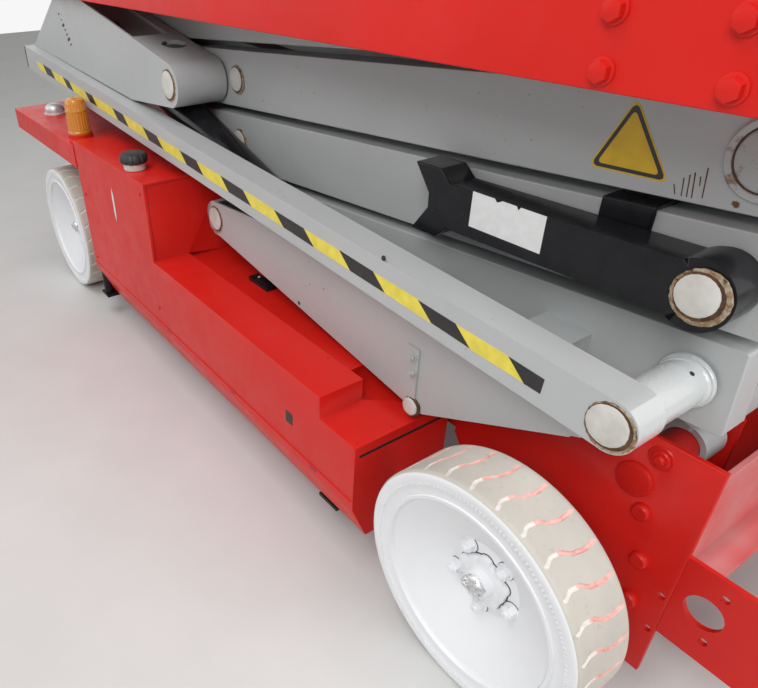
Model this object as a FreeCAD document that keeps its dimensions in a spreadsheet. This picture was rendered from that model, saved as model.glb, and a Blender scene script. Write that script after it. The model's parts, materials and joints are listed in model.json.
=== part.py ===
import FreeCAD, Part
import math
import os
import re

# Scissor lift, parked with its platform down. Millimetres, +Z up, origin on the floor under the middle.
# The steered wheels are at the -X end and the entry gate is at the +X end.

SIZES = (
    # name, value, what it is
    ("wheel_base", 2527, "from the steered axle to the fixed axle"),
    ("fixed_axle_x", 1345, "fixed axle, from the middle of the machine"),
    ("overall_width", 1500, "over the outer faces of the wheels"),
    ("tyre_radius", 279.4, "22 inch solid tyre"),
    ("tyre_width", 153, ""),
    ("tyre_shoulder", 14, ""),
    ("rim_radius", 225.5, "seat of the tyre on the rim"),
    ("rim_wall", 6, "pressed rim plate"),
    ("rim_depth", 92, "from the rim's edge in to its disc"),
    ("hub_radius", 62, ""),
    ("lug_circle", 80, "radius of the circle of wheel nuts"),
    ("lug_count", 5, ""),
    ("lug_radius", 13, ""),
    ("lug_height", 12, ""),
    ("kingpin_y", "=overall_width / 2 - 230", "steering axis, out from the middle"),
    ("kingpin_radius", 18, ""),
    ("near_pin_x", 1480, "column of fixed pins at the entry end"),
    ("pin_span", 3075, "from the near pins to the far pins, lowered"),
    ("base_pin_z", 577, "lowest pin"),
    ("level_rise", 192, "height of one scissor level, lowered"),
    ("arm_depth", 168, "height of an arm's section"),
    ("arm_reach", 70, "arm past its pin"),
    ("arm_bevel", 30, "corners of an arm's far end"),
    ("near_reach", 80, "arm past its pin at the entry end, where it is cut square"),
    ("near_bevel", 6, ""),
    ("arm_width", 75, ""),
    ("arm_space", 7, "between arms that lie side by side"),
    ("foot_boss", 50, "round end of a lowest arm"),
    ("foot_taper", 190, "from the lowest pin to the full section"),
    ("inner_arm_in", "=inner_arm_out - arm_width", "inner arms, from the middle"),
    ("inner_arm_out", "=outer_arm_in - arm_space", ""),
    ("outer_arm_in", "=outer_arm_out - arm_width", "outer arms, from the middle"),
    ("outer_arm_out", "=outrigger_in - 155", ""),
    ("pin_radius", 38, "pins and cross tubes"),
    ("pin_gap", 0.3, "a pin in its bore"),
    ("pin_proud", 4, "pin end past the arm that it holds"),
    ("boss_radius", 56, "ring round a pin end"),
    ("roller_radius", 45, ""),
    ("roller_width", 46, ""),
    ("roller_out", "=inner_arm_in - 10", "outer face of a roller, from the middle"),
    ("axle_radius", 25, "roller's stub axle"),
    ("track_in", "=track_out - 68", "roller channel, from the middle"),
    ("track_out", "=inner_arm_in - 5", ""),
    ("track_wall", 8, ""),
    ("track_gap", 1, "roller in its channel"),
    ("track_length", 1120, ""),
    ("track_end", 70, "channel past the roller's lowered place"),
    ("outrigger_in", "=outrigger_out - 75", "striped outer arm, from the middle"),
    ("outrigger_out", "=overall_width / 2 - 110", ""),
    ("outrigger_depth", 100, ""),
    ("outrigger_tip", 95, "striped arm past its far pin"),
    ("outrigger_boss", 50, "round near end of a striped arm"),
    ("sleeve_radius", 44, "sleeve from a striped arm in to the arms"),
    ("lift_leaf_out", "=outrigger_out - 46", "outer plate of the upper leaf"),
    ("lift_leaf_in", "=outer_arm_out + 8", "inner plate of the upper leaf"),
    ("leaf_wall", 8, ""),
    ("upper_nose_x", -180, ""),
    ("upper_nose_z", 1043, ""),
    ("upper_nose_radius", 68, ""),
    ("leaf_open_near", -440, "open top of an upper leaf"),
    ("leaf_open_far", -1040, ""),
    ("leaf_rim", 40, "rim left beside the open top"),
    ("leaf_hole_radius", 42, ""),
    ("base_leaf_out", "=outrigger_in - 5", "outer plate of the lower leaf"),
    ("lower_nose_x", 8, ""),
    ("lower_nose_z", 650, ""),
    ("lower_nose_radius", 58, ""),
    ("cylinder_y", "=(outer_arm_out + outrigger_in) / 2 + 1.5", "lift cylinders, out from the middle"),
    ("barrel_radius", 58, ""),
    ("rod_radius", 32, ""),
    ("eye_radius", 46, ""),
    ("eye_width", 60, ""),
    ("lift_pin_radius", 22, ""),
    ("low_pin_x", 995, "lower pin of a lift cylinder"),
    ("low_pin_z", 545, ""),
    ("high_pin_x", -900, "upper pin of a lift cylinder"),
    ("high_pin_z", 1120, ""),
    ("barrel_length", 1600, "from the lower pin to the gland"),
    ("barrel_start", 80, "barrel's cap, from the lower pin"),
    ("barrel_floor", 200, "bottom of the barrel's bore"),
    ("rod_start", 420, "piston, from the lower pin, lowered"),
    ("lock_in", "=outer_arm_out + 14", "maintenance lock, from the middle"),
    ("lock_out", "=lock_in + 76", ""),
    ("lock_length", 540, "from its pin to the fork's root"),
    ("lock_depth", 97, ""),
    ("lock_fork", 85, "length of the fork"),
    ("lock_slope", -1, "degrees"),
    ("lock_flare", 26, "fork past the bar, up and down"),
    ("lock_notch", 45, "depth of the fork's notch"),
    ("lock_eye", 60, "radius"),
    ("saddle_near", 1345, "rest of the lock over its arm"),
    ("saddle_far", 1245, ""),
    ("saddle_wall", 10, ""),
    ("rail_in", "=rail_out - 112", "chassis rails, from the middle"),
    ("rail_out", "=outer_arm_out + 2", ""),
    ("rail_low", 345, ""),
    ("rail_high", 475, ""),
    ("frame_wall", 8, ""),
    ("frame_end", "=fixed_axle_x + 245", "chassis rails at the entry end, from the middle"),
    ("frame_far", "=deck_half - 2", "chassis rails at the steered end, from the middle"),
    ("side_plate_in", "=rail_out + 4", "side plates at the entry end"),
    ("side_plate_wall", 12, ""),
    ("side_plate_high", 640, ""),
    ("side_plate_low", 60, ""),
    ("side_plate_start", 1010, ""),
    ("end_plate_wall", 12, ""),
    ("step_reach", "=frame_end + step_length", "entry step, from the middle"),
    ("step_length", 210, "entry step, out of the chassis rails"),
    ("step_bar_low", 205, ""),
    ("step_bar_high", 430, ""),
    ("step_shelf", 70, "shelf out of the end plate"),
    ("step_shelf_z", 414, ""),
    ("step_tread", 50, ""),
    ("tie_down_x", 72, "lashing hole, out of the chassis rails"),
    ("tie_down_z", 328, ""),
    ("tie_down_radius", 38, "lashing hole through a step bar"),
    ("axle_low", 225, ""),
    ("axle_half", 60, "half the axle beam's length along X"),
    ("tray_in", "=overall_width / 2 - 138", "inner edge of the lid and the step"),
    ("tray_deep", "=rail_out + 28", "tall box's inner wall"),
    ("tray_far_x", "=fixed_axle_x - wheel_base + 377", ""),
    ("tray_tall_x", "=tray_far_x + 685", "end of the tall box"),
    ("tray_top_x", 851, "end of the tray"),
    ("tray_step_x", 993, "end of the low step"),
    ("tray_low", 110, ""),
    ("tray_bend", 228, ""),
    ("tray_tuck", 50, "the outer wall's foot goes in by this"),
    ("tray_tall_z", "=base_pin_z + level_rise", ""),
    ("tray_top_z", 495, ""),
    ("tray_shelf_x", "=tray_top_x - 71", "end of the shelf inside the lid"),
    ("tray_shelf_z", "=tray_top_z - 18", ""),
    ("tray_step_z", 430, ""),
    ("tray_wall", 4, ""),
    ("tray_post_radius", 20, ""),
    ("tray_post_inset", 28, "swing axis, in from the tray's corner"),
    ("tray_arm_wall", 10, ""),
    ("tray_arm_gap", 6, ""),
    ("tray_post_length", 460, ""),
    ("battery_inset", 66, "battery from the wheel's outer face"),
    ("battery_room", 20, "round a battery"),
    ("fender_far_x", "=-frame_far - end_plate_wall", ""),
    ("fender_near_x", "=tray_far_x - 18", ""),
    ("fender_low", 655, ""),
    ("fender_high", 745, ""),
    ("fender_in", "=rail_out + 18", ""),
    ("fender_wall", 4, ""),
    ("filler_x", -1445, "filler cap"),
    ("filler_y", -623, ""),
    ("filler_radius", 43, ""),
    ("filler_height", 36, ""),
    ("beacon_x", -876, ""),
    ("beacon_y", "=-outrigger_out - beacon_radius - 6", ""),
    ("beacon_foot", 50, "radius of the beacon's base"),
    ("beacon_radius", 46, ""),
    ("beacon_base_height", 12, ""),
    ("beacon_height", 144, "lens"),
    ("cap_x", -296, "tank cap"),
    ("cap_y", -700, ""),
    ("cap_neck", 38, "radius"),
    ("cap_neck_height", 24, ""),
    ("cap_radius", 49, ""),
    ("cap_height", 34, ""),
    ("deck_high", 1480, "top of the platform floor"),
    ("deck_wall", 6, ""),
    ("deck_half", 1680, "platform floor, each way from the middle"),
    ("skirt_out", "=overall_width / 2 - 125", "platform sides, from the middle"),
    ("skirt_low", 1250, ""),
    ("skirt_wall", 6, ""),
    ("skirt_lip", 25, ""),
    ("beam_low", 1440, ""),
    ("beam_width", 50, ""),
    ("guard_height", 1100, "top rail over the floor"),
    ("guard_y", "=skirt_out - 20", "guard rails, from the middle"),
    ("guard_x", "=deck_half - 25", "guard rail at the entry end"),
    ("tube_radius", 19, "posts of the guard rails"),
    ("rail_radius", 18, "rails between the posts"),
    ("toe_height", 150, ""),
    ("gate_half", 290, "half the gate opening"),
    ("gate_gap", 12, ""),
    ("slide_front", "=deck_half + 120", "front of the sliding deck, stowed"),
    ("slide_back", 420, "back of the sliding deck, stowed"),
    ("slide_y", "=guard_y - 60", "sliding deck's guard rails, from the middle"),
    ("slide_lift", 6, "sliding deck over the floor"),
    ("slide_wall", 6, ""),
)

doc = FreeCAD.newDocument("ScissorLift")
sheet = doc.addObject("Spreadsheet::Sheet", "Sizes")
for row, (alias, value, note) in enumerate(SIZES, start=1):
    sheet.set("A%d" % row, alias)
    sheet.set("C%d" % row, note)
    sheet.setAlias("B%d" % row, alias)
for row, (alias, value, note) in enumerate(SIZES, start=1):
    sheet.set("B%d" % row, str(value))
doc.recompute()

NAMES = [alias for alias, value, note in SIZES]
WORD = re.compile(r"[a-z][a-z_]*[a-z]")
AXES = {"x": FreeCAD.Vector(1, 0, 0), "y": FreeCAD.Vector(0, 1, 0), "z": FreeCAD.Vector(0, 0, 1)}
UP = FreeCAD.Vector(0, 0, 1)
nodes = []


def size(alias):
    return float(sheet.get(alias))


def bind(feature, prop, text):
    """Ties a property to sizes in the sheet; text is a sum of their names."""
    named = WORD.sub(lambda found: "Sizes." + found.group(0) if found.group(0) in NAMES else found.group(0),
                     str(text))
    feature.setExpression(prop, named)


def box(name, x, y, z):
    """A block; x, y and z are pairs of low and high sums."""
    made = doc.addObject("Part::Box", name)
    for prop, base, (low, high) in (("Length", "x", x), ("Width", "y", y), ("Height", "z", z)):
        bind(made, prop, "(%s) - (%s)" % (high, low))
        bind(made, ".Placement.Base." + base, low)
    return made


def rod(name, radius, axis, start, length):
    """A round bar from the point start along an axis."""
    made = doc.addObject("Part::Cylinder", name)
    made.Placement.Rotation = FreeCAD.Rotation(UP, AXES[axis])
    bind(made, "Radius", radius)
    bind(made, "Height", length)
    for base, text in zip("xyz", start):
        bind(made, ".Placement.Base." + base, text)
    return made


def cross_rod(name, radius, x, z, y_low, y_high):
    """A round bar along Y between two distances."""
    return rod(name, radius, "y", (x, y_low, z), "(%s) - (%s)" % (y_high, y_low))


def fuse(name, pieces):
    if len(pieces) == 1:
        return pieces[0]
    made = doc.addObject("Part::MultiFuse", name)
    made.Shapes = pieces
    return made


def cut(name, base, tools):
    made = doc.addObject("Part::Cut", name)
    made.Base = base
    made.Tool = fuse(name + "Tools", tools)
    return made


def mirrored(name, piece):
    """The same piece on the other side of the machine."""
    made = doc.addObject("Part::Mirroring", name)
    made.Source = piece
    made.Normal = FreeCAD.Vector(0, 1, 0)
    return made


def both_sides(name, piece):
    return fuse(name, [piece, mirrored(name + "Mirror", piece)])


def pair(name, piece):
    """Two pieces, one each side, that don't touch."""
    made = doc.addObject("Part::Compound", name)
    made.Links = [piece, mirrored(name + "Mirror", piece)]
    return made


def outline(name, points, plane):
    """A closed sketch through points; plane xz takes (x, z), yz takes (y, z) and xy takes (x, y)."""
    sketch = doc.addObject("Sketcher::SketchObject", name)
    turns = {"xz": FreeCAD.Rotation(AXES["x"], UP, AXES["y"], "XYZ"),
             "yz": FreeCAD.Rotation(AXES["y"], UP, AXES["x"], "XYZ"),
             "xy": FreeCAD.Rotation()}
    sketch.Placement = FreeCAD.Placement(FreeCAD.Vector(), turns[plane])
    corners = [FreeCAD.Vector(first, second, 0) for first, second in points]
    for start, end in zip(corners, corners[1:] + corners[:1]):
        sketch.addGeometry(Part.LineSegment(start, end), False)
    return sketch


def prism(name, points, plane, low, high):
    """A plate of that outline between two distances along the third axis."""
    made = doc.addObject("Part::Extrusion", name)
    made.Base = outline(name + "Outline", points, plane)
    made.DirMode = "Custom"
    made.Dir = AXES[{"xz": "y", "yz": "x", "xy": "z"}[plane]]
    made.Solid = True
    bind(made, "LengthFwd", high)
    bind(made, "LengthRev", "-(%s)" % low)
    return made


def node(label, piece):
    piece.Label = label
    nodes.append(piece)
    return piece


# Places of the scissor pins, (x, z), counted from the lowest level up.
near_x = size("near_pin_x")
far_x = near_x - size("pin_span")
mid_x = (near_x + far_x) / 2
LEVELS = 4


def level_z(level):
    return size("base_pin_z") + level * size("level_rise")


def level_text(level):
    return "base_pin_z + %g * level_rise" % level


NEAR = "near_pin_x"
FAR = "near_pin_x - pin_span"
MIDDLE = "near_pin_x - pin_span / 2"


def bar_outline(start, end, depth, reach_start, reach_end, bevel_start, bevel_end):
    """The side view of a straight bar along the line from start to end, with bevelled corners."""
    run_x, run_z = end[0] - start[0], end[1] - start[1]
    length = math.hypot(run_x, run_z)
    along = (run_x / length, run_z / length)
    half = depth / 2
    profile = ((-reach_start, -half + bevel_start), (-reach_start + bevel_start, -half),
               (length + reach_end - bevel_end, -half), (length + reach_end, -half + bevel_end),
               (length + reach_end, half - bevel_end), (length + reach_end - bevel_end, half),
               (-reach_start + bevel_start, half), (-reach_start, half - bevel_start))
    return [(start[0] + far * along[0] - off * along[1], start[1] + far * along[1] + off * along[0])
            for far, off in profile]


def arm(name, level, rises_near, side):
    """A pair of like arms of one level, with no pins in them yet."""
    low = (far_x, level_z(level - 1)) if rises_near else (near_x, level_z(level - 1))
    high = (near_x, level_z(level)) if rises_near else (far_x, level_z(level))
    near, far = (size("near_reach"), size("near_bevel")), (size("arm_reach"), size("arm_bevel"))
    (first_reach, first_bevel), (last_reach, last_bevel) = (far, near) if rises_near else (near, far)
    points = bar_outline(low, high, size("arm_depth"), first_reach, last_reach, first_bevel, last_bevel)
    return prism(name + "Side", points, "xz", side + "_arm_in", side + "_arm_out")


def bores(name, places, side):
    return [cross_rod("%sBore%d" % (name, index), "pin_radius + pin_gap", x, z,
                      side + "_arm_in - 1", side + "_arm_out + 1")
            for index, (x, z) in enumerate(places)]


def cross_tube(name, x, z, reach):
    return cross_rod(name, "pin_radius", x, z, "-(%s)" % reach, reach)


# Wheels: solid tyre on a deep dished rim with a hub and nuts.
def turned(name, points, centre_x, centre_y, outward):
    """A ring turned about a wheel's axis; points are (radius, distance in from the outer face)."""
    sketch = doc.addObject("Sketcher::SketchObject", name + "Outline")
    corners = [FreeCAD.Vector(radius, -depth * outward, 0) for radius, depth in points]
    for start, end in zip(corners, corners[1:] + corners[:1]):
        sketch.addGeometry(Part.LineSegment(start, end), False)
    made = doc.addObject("Part::Revolution", name)
    made.Source = sketch
    made.Axis = AXES["y"]
    made.Base = FreeCAD.Vector()
    made.Angle = 360
    made.Solid = True
    made.Placement.Base = FreeCAD.Vector(centre_x, centre_y, size("tyre_radius"))
    return made


def wheel(corner, centre_x, outward):
    face_y = outward * size("overall_width") / 2
    rim, wall, width, depth = size("rim_radius"), size("rim_wall"), size("tyre_width"), size("rim_depth")
    tread, shoulder, lug = size("tyre_radius"), size("tyre_shoulder"), size("lug_height")
    tyre = turned("Tyre" + corner, ((rim, 4), (tread - shoulder, 0), (tread, shoulder),
                                    (tread, width - shoulder), (tread - shoulder, width), (rim, width - 4)),
                  centre_x, face_y, outward)
    node("tyre_" + corner, tyre)
    well, hub = rim - 22, size("hub_radius")
    dish = turned("Dish" + corner, ((rim - 0.3, 4), (rim - 0.3, width - 4), (rim - wall, width - 4),
                                    (rim - wall, depth + wall + 10), (well, depth + wall), (hub, depth + wall),
                                    (hub, depth), (well - 2, depth), (rim - wall, depth - 22), (rim - wall, 4)),
                  centre_x, face_y, outward)
    centre = turned("Hub" + corner, ((0, depth - 26), (36, depth - 26), (40, depth - 20), (hub, depth - 6),
                                     (hub, depth + 34), (0, depth + 34)), centre_x, face_y, outward)
    nuts = []
    for index in range(int(size("lug_count"))):
        angle = 2 * math.pi * index / size("lug_count")
        nuts.append(rod("Nut%s%d" % (corner, index), "lug_radius", "y",
                        ("%g" % (centre_x + size("lug_circle") * math.cos(angle)),
                         "%g" % (face_y - outward * (depth - lug) - (lug if outward > 0 else 0)),
                         "tyre_radius + lug_circle * %g" % math.sin(angle)), "lug_height"))
    node("wheel_" + corner, fuse("Wheel" + corner, [dish, centre] + nuts))


steered_x = size("fixed_axle_x") - size("wheel_base")
for corner, centre_x, outward in (("steer_left", steered_x, -1), ("steer_right", steered_x, 1),
                                  ("fixed_left", size("fixed_axle_x"), -1),
                                  ("fixed_right", size("fixed_axle_x"), 1)):
    wheel(corner, centre_x, outward)

HUB_BACK = "overall_width / 2 - rim_depth - 34"
STEER = "fixed_axle_x - wheel_base"


def knuckle(name, mirror):
    """Steering knuckle: kingpin barrel, stub axle and steering arm."""
    barrel = rod(name + "Barrel", "kingpin_radius + 16", "z", (STEER, "kingpin_y", "axle_low + 8"), "104")
    bore = rod(name + "Bore", "kingpin_radius + pin_gap", "z", (STEER, "kingpin_y", "axle_low"), "130")
    stub = cross_rod(name + "Stub", "34", STEER, "tyre_radius", "kingpin_y + 20", HUB_BACK)
    steer_arm = box(name + "Arm", (STEER + " + 20", STEER + " + 150"), ("kingpin_y - 14", "kingpin_y + 14"),
                    ("axle_low + 20", "axle_low + 36"))
    made = cut(name, fuse(name + "Solid", [barrel, stub, steer_arm]), [bore])
    return mirrored(name + "Other", made) if mirror else made


node("knuckle_left", knuckle("KnuckleLeft", True))
node("knuckle_right", knuckle("KnuckleRight", False))

# Axle beams under the rails. The steered beam ends in forks for the kingpins.
beam = box("SteerBeam", (STEER + " - axle_half", STEER + " + axle_half"), ("-rail_out", "rail_out"),
           ("axle_low", "rail_low"))
forks = []
for index, (low, high) in enumerate((("axle_low - 14", "axle_low + 2"), ("axle_low + 118", "axle_low + 134"))):
    forks.append(box("Fork%d" % index, (STEER + " - 40", STEER + " + 40"), ("rail_out - 60", "kingpin_y + 34"),
                     (low, high)))
cheek = box("ForkCheek", (STEER + " - 40", STEER + " + 40"), ("rail_out - 60", "rail_out + 24"),
            ("axle_low - 14", "axle_low + 134"))
kingpin = rod("Kingpin", "kingpin_radius", "z", (STEER, "kingpin_y", "axle_low - 14"), "148")
fork = cut("ForkSide", fuse("ForkSolid", forks + [cheek, kingpin]),
           [box("ForkRelief", (STEER + " - 60", STEER + " + 60"), ("rail_in - 10", "rail_out"),
                ("rail_low", "rail_high"))])
node("steer_axle", fuse("SteerAxle", [beam, fork, mirrored("ForkMirror", fork)]))

fixed_beam = box("FixedBeam", ("fixed_axle_x - axle_half", "fixed_axle_x + axle_half"),
                 ("-rail_out", "rail_out"), ("axle_low", "rail_low"))
gearbox = cross_rod("Gearbox", "58", "fixed_axle_x", "tyre_radius", "rail_out + 16 + 12", HUB_BACK)
gearbox_neck = cross_rod("GearboxNeck", "44", "fixed_axle_x", "tyre_radius", "rail_out", "rail_out + 40")
drive = fuse("DriveSide", [gearbox, gearbox_neck])
node("fixed_axle", fuse("FixedAxle", [fixed_beam, drive, mirrored("DriveMirror", drive)]))

# Chassis: two rails, cross beams, roller channels and the inner lugs of the lowest pins.
rail = box("Rail", ("-frame_far", "frame_end"), ("rail_in", "rail_out"), ("rail_low", "rail_high"))
rail_hollow = box("RailHollow", ("-frame_far - 1", "frame_end + 1"), ("rail_in + frame_wall", "rail_out - frame_wall"),
                  ("rail_low + frame_wall", "rail_high - frame_wall"))
rails = both_sides("Rails", cut("RailTube", rail, [rail_hollow]))
beams = [box("CrossBeam%d" % index, (x, x + " + 90"), ("-rail_in", "rail_in"), ("rail_low", "rail_high"))
         for index, x in enumerate(("-frame_far", "-1010", "-560", "400", "near_pin_x - 45", "frame_end - 90"))]


def roller_channel(name, z):
    """A channel, open outwards, in which a roller at height z runs."""
    x_low = FAR + " - track_end"
    x_high = x_low + " + track_length"
    gap = "roller_radius + track_gap"
    block = box(name + "Block", (x_low, x_high), ("track_in", "track_out"),
                ("%s - (%s) - track_wall" % (z, gap), "%s + %s + track_wall" % (z, gap)))
    room = box(name + "Room", (x_low + " - 1", x_high + " + 1"), ("track_in + track_wall", "track_out + 1"),
               ("%s - (%s)" % (z, gap), "%s + %s" % (z, gap)))
    return cut(name, block, [room])


low_track = roller_channel("LowTrack", "base_pin_z")
track_foot = [box("TrackFoot%d" % index, (x, x + " + 90"), ("track_in", "track_out"),
                  ("rail_high", "base_pin_z - roller_radius - track_gap - track_wall"))
              for index, x in enumerate(("-frame_far + 13", "-1010", "-560"))]
inner_lug = box("InnerLug", ("near_pin_x - 45", "near_pin_x + 60"), ("inner_arm_in - 21", "inner_arm_in - 9"),
                ("rail_high - 20", "base_pin_z + 58"))
inner_parts = fuse("InnerParts", [low_track, inner_lug] + track_foot)
node("chassis_frame", fuse("ChassisFrame", [rails] + beams + [both_sides("InnerPartsPair", inner_parts)]))

# Side plates at the entry end, with the lowest pins, and the plate across.
plate_points = ((size("side_plate_start"), size("rail_low")), (size("side_plate_start") + 120, size("side_plate_low") + 120),
                (size("frame_end") - 90, size("side_plate_low")), (size("frame_end") + 12, size("side_plate_low")),
                (size("frame_end") + 12, size("side_plate_high")), (size("near_pin_x") - 100, size("side_plate_high")),
                (size("near_pin_x") - 300, size("rail_high")), (size("side_plate_start"), size("rail_high")))
side_plate = prism("SidePlate", plate_points, "xz", "side_plate_in", "side_plate_in + side_plate_wall")
spacer = box("SideSpacer", ("1100", "frame_end - 20"), ("rail_out", "side_plate_in"), ("rail_low + 10", "rail_high - 10"))
wheel_hole = cross_rod("GearboxHole", "64", "fixed_axle_x", "tyre_radius", "side_plate_in - 6",
                       "side_plate_in + side_plate_wall + 6")
base_pin = cross_rod("BasePin", "pin_radius", NEAR, "base_pin_z", "inner_arm_in - 9",
                     "side_plate_in + side_plate_wall + 10")
plate_hole = [cross_rod("PlateHole%d" % index, "9", "frame_end - 4", z, "side_plate_in - 1",
                        "side_plate_in + side_plate_wall + 1") for index, z in enumerate(("298", "194"))]
plate_side = fuse("PlateSide", [cut("SidePlateHoled", side_plate, [wheel_hole] + plate_hole), spacer, base_pin])
node("side_plates", pair("SidePlates", plate_side))

# End plate with its shelf, and the entry step: two holed bars out of the side plates with treads between them.
PLATE_END = "frame_end + end_plate_wall"
BAR_IN, BAR_OUT = "side_plate_in", "side_plate_in + side_plate_wall"
end_plate = box("EndPlate", ("frame_end", PLATE_END), ("-side_plate_in", "side_plate_in"),
                ("step_shelf_z - side_plate_wall", "side_plate_high - 15"))
shelf = box("EndShelf", (PLATE_END, "frame_end + step_shelf"), ("-side_plate_in", "side_plate_in"),
            ("step_shelf_z - side_plate_wall", "step_shelf_z"))
node("end_plate", fuse("EndPlateAndShelf", [end_plate, shelf]))
step_bar = box("StepBar", (PLATE_END, "step_reach"), (BAR_IN, BAR_OUT), ("step_bar_low", "step_bar_high"))
tie_down = cross_rod("TieDown", "tie_down_radius", "frame_end + tie_down_x", "tie_down_z", BAR_IN + " - 2", BAR_OUT + " + 2")
bar_holes = [cross_rod("BarHole%d" % index, "9", "frame_end + tie_down_x + 20", z, BAR_IN + " - 2", BAR_OUT + " + 2")
             for index, z in enumerate(("tie_down_z + 62", "tie_down_z - 66"))]
step_bars = both_sides("StepBars", cut("StepBarHoled", step_bar, [tie_down] + bar_holes))
treads = [box("Tread%d" % index, ("step_reach - step_tread", "step_reach"), ("-(%s)" % BAR_IN, BAR_IN), (z, z + " + step_tread / 2"))
          for index, z in enumerate(("step_bar_low", "step_bar_high - step_tread / 2"))]
node("entry_step", fuse("EntryStep", [step_bars] + treads))

# Bumper and fenders at the steered end, with the beacon and the filler cap.
bumper = box("Bumper", ("-frame_far - end_plate_wall", "-frame_far"), ("-fender_in", "fender_in"),
             ("axle_low", "fender_high"))
node("steer_bumper", bumper)


def tray_like(name, x, y, z, wall, open_low=False):
    """A sheet metal box; with open_low it has no bottom."""
    outer = box(name + "Outer", x, y, z)
    inner = box(name + "Inner", (x[0] + " + " + wall, x[1] + " - " + wall),
                (y[0] + " + " + wall, y[1] + " - " + wall),
                (z[0] + (" - 1" if open_low else " + " + wall), z[1] + " - " + wall))
    return cut(name, outer, [inner])


fender = tray_like("Fender", ("fender_far_x", "fender_near_x"), ("fender_in", "overall_width / 2"),
                   ("fender_low", "fender_high"), "fender_wall", open_low=True)
fender_bracket = box("FenderBracket", ("-frame_far", "-frame_far + 60"), ("rail_out", "fender_in"),
                     ("rail_low", "fender_high - 20"))
node("fenders", pair("Fenders", fuse("FenderSide", [fender, fender_bracket])))
node("filler_cap", rod("FillerCap", "filler_radius", "z", ("filler_x", "filler_y", "fender_high"), "filler_height"))
node("beacon_base", rod("BeaconBase", "beacon_foot", "z", ("beacon_x", "beacon_y", "fender_high"), "beacon_base_height"))
node("beacon_lens", rod("BeaconLens", "beacon_radius", "z", ("beacon_x", "beacon_y", "fender_high + beacon_base_height"),
                        "beacon_height"))

# Swing-out side trays on their posts.
POST_X = "tray_far_x + tray_post_inset"
POST_Y = "overall_width / 2 - tray_post_inset"
post_arm = box("PostArm", ("tray_far_x - 5", POST_X + " + 40"), ("rail_out", POST_Y + " + 24"),
               ("tray_low - tray_arm_gap - tray_arm_wall", "tray_low - tray_arm_gap"))
post_leg = box("PostLeg", ("tray_far_x - 5", POST_X + " + 40"), ("rail_out - 60", "rail_out"),
               ("tray_low - tray_arm_gap - tray_arm_wall", "rail_low"))
post = rod("TrayPost", "tray_post_radius", "z", (POST_X, POST_Y, "tray_low - tray_arm_gap - tray_arm_wall / 2"), "tray_post_length")
rest_arm = box("RestArm", ("tray_top_x - 60", "tray_top_x + 20"), ("rail_out", "tray_in + 90"),
               ("tray_low - tray_arm_gap - tray_arm_wall", "tray_low - tray_arm_gap"))
rest_leg = box("RestLeg", ("tray_top_x - 60", "tray_top_x + 20"), ("rail_out - 60", "rail_out"),
               ("tray_low - tray_arm_gap - tray_arm_wall", "rail_low"))
node("tray_posts", pair("TrayPosts", fuse("TrayPostSide", [post_arm, post_leg, post, rest_arm, rest_leg])))


def tray(name, mirror):
    """One tray: tall box, tray and low step, with its foot tucked in."""
    outer_y, wall = size("overall_width") / 2, size("tray_wall")
    tuck, bend, low = size("tray_tuck"), size("tray_bend"), size("tray_low")
    shells = []
    inner_y, lid_y = size("tray_deep"), size("tray_in")
    for part_name, x_low, x_high, lid, shelf in (("Tall", "tray_far_x", "tray_tall_x", "tray_tall_z", "tray_tall_z"),
                                                 ("Top", "tray_tall_x", "tray_shelf_x", "tray_top_z", "tray_shelf_z"),
                                                 ("Lid", "tray_shelf_x", "tray_top_x", "tray_top_z", "tray_step_z"),
                                                 ("Step", "tray_top_x", "tray_step_x", "tray_step_z", "tray_step_z")):
        lid_z, shelf_z = size(lid), size(shelf)
        edge = ((lid_y, lid_z), (lid_y, shelf_z)) if lid_z > shelf_z else ()
        profile = ((inner_y, low), (outer_y - tuck, low), (outer_y, bend), (outer_y, lid_z)) + edge + ((inner_y, shelf_z),)
        edge = ((lid_y + wall, lid_z - wall), (lid_y + wall, shelf_z - wall)) if lid_z > shelf_z else ()
        room = ((inner_y + wall, low + wall), (outer_y - tuck - wall, low + wall), (outer_y - wall, bend),
                (outer_y - wall, lid_z - wall)) + edge + ((inner_y + wall, shelf_z - wall),)
        block = prism(name + part_name, profile, "yz", x_low, x_high)
        hollow = prism(name + part_name + "Room", room, "yz", x_low + " + tray_wall", x_high + " - tray_wall")
        shells.append(cut(name + part_name + "Shell", block, [hollow]))
    ring = rod(name + "Ring", "tray_post_radius + 7", "z", (POST_X, POST_Y, "tray_bend + 30"), "60")
    bore = rod(name + "Bore", "tray_post_radius + pin_gap", "z", (POST_X, POST_Y, "tray_low - 5"), "520")
    made = cut(name + "Solid", fuse(name + "Shells", shells + [ring]), [bore])
    return mirrored(name + "Other", made) if mirror else made


node("tray_left", tray("TrayLeft", True))
node("tray_right", tray("TrayRight", False))
for index, (label, low, high) in enumerate((("battery_left", "-overall_width / 2 + battery_inset", "-tray_deep - 10"),
                                            ("battery_right", "tray_deep + 10", "overall_width / 2 - battery_inset"))):
    node(label, box("Battery%d" % index, ("tray_tall_x + battery_room", "tray_shelf_x - battery_room"), (low, high),
                    ("tray_low + tray_wall", "tray_top_z - 60")))
cap_neck = rod("CapNeck", "cap_neck", "z", ("cap_x", "cap_y", "tray_tall_z"), "cap_neck_height")
cap_knob = rod("CapKnob", "cap_radius", "z", ("cap_x", "cap_y", "tray_tall_z + cap_neck_height"), "cap_height")
node("tank_cap", fuse("TankCap", [cap_neck, cap_knob]))

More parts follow.
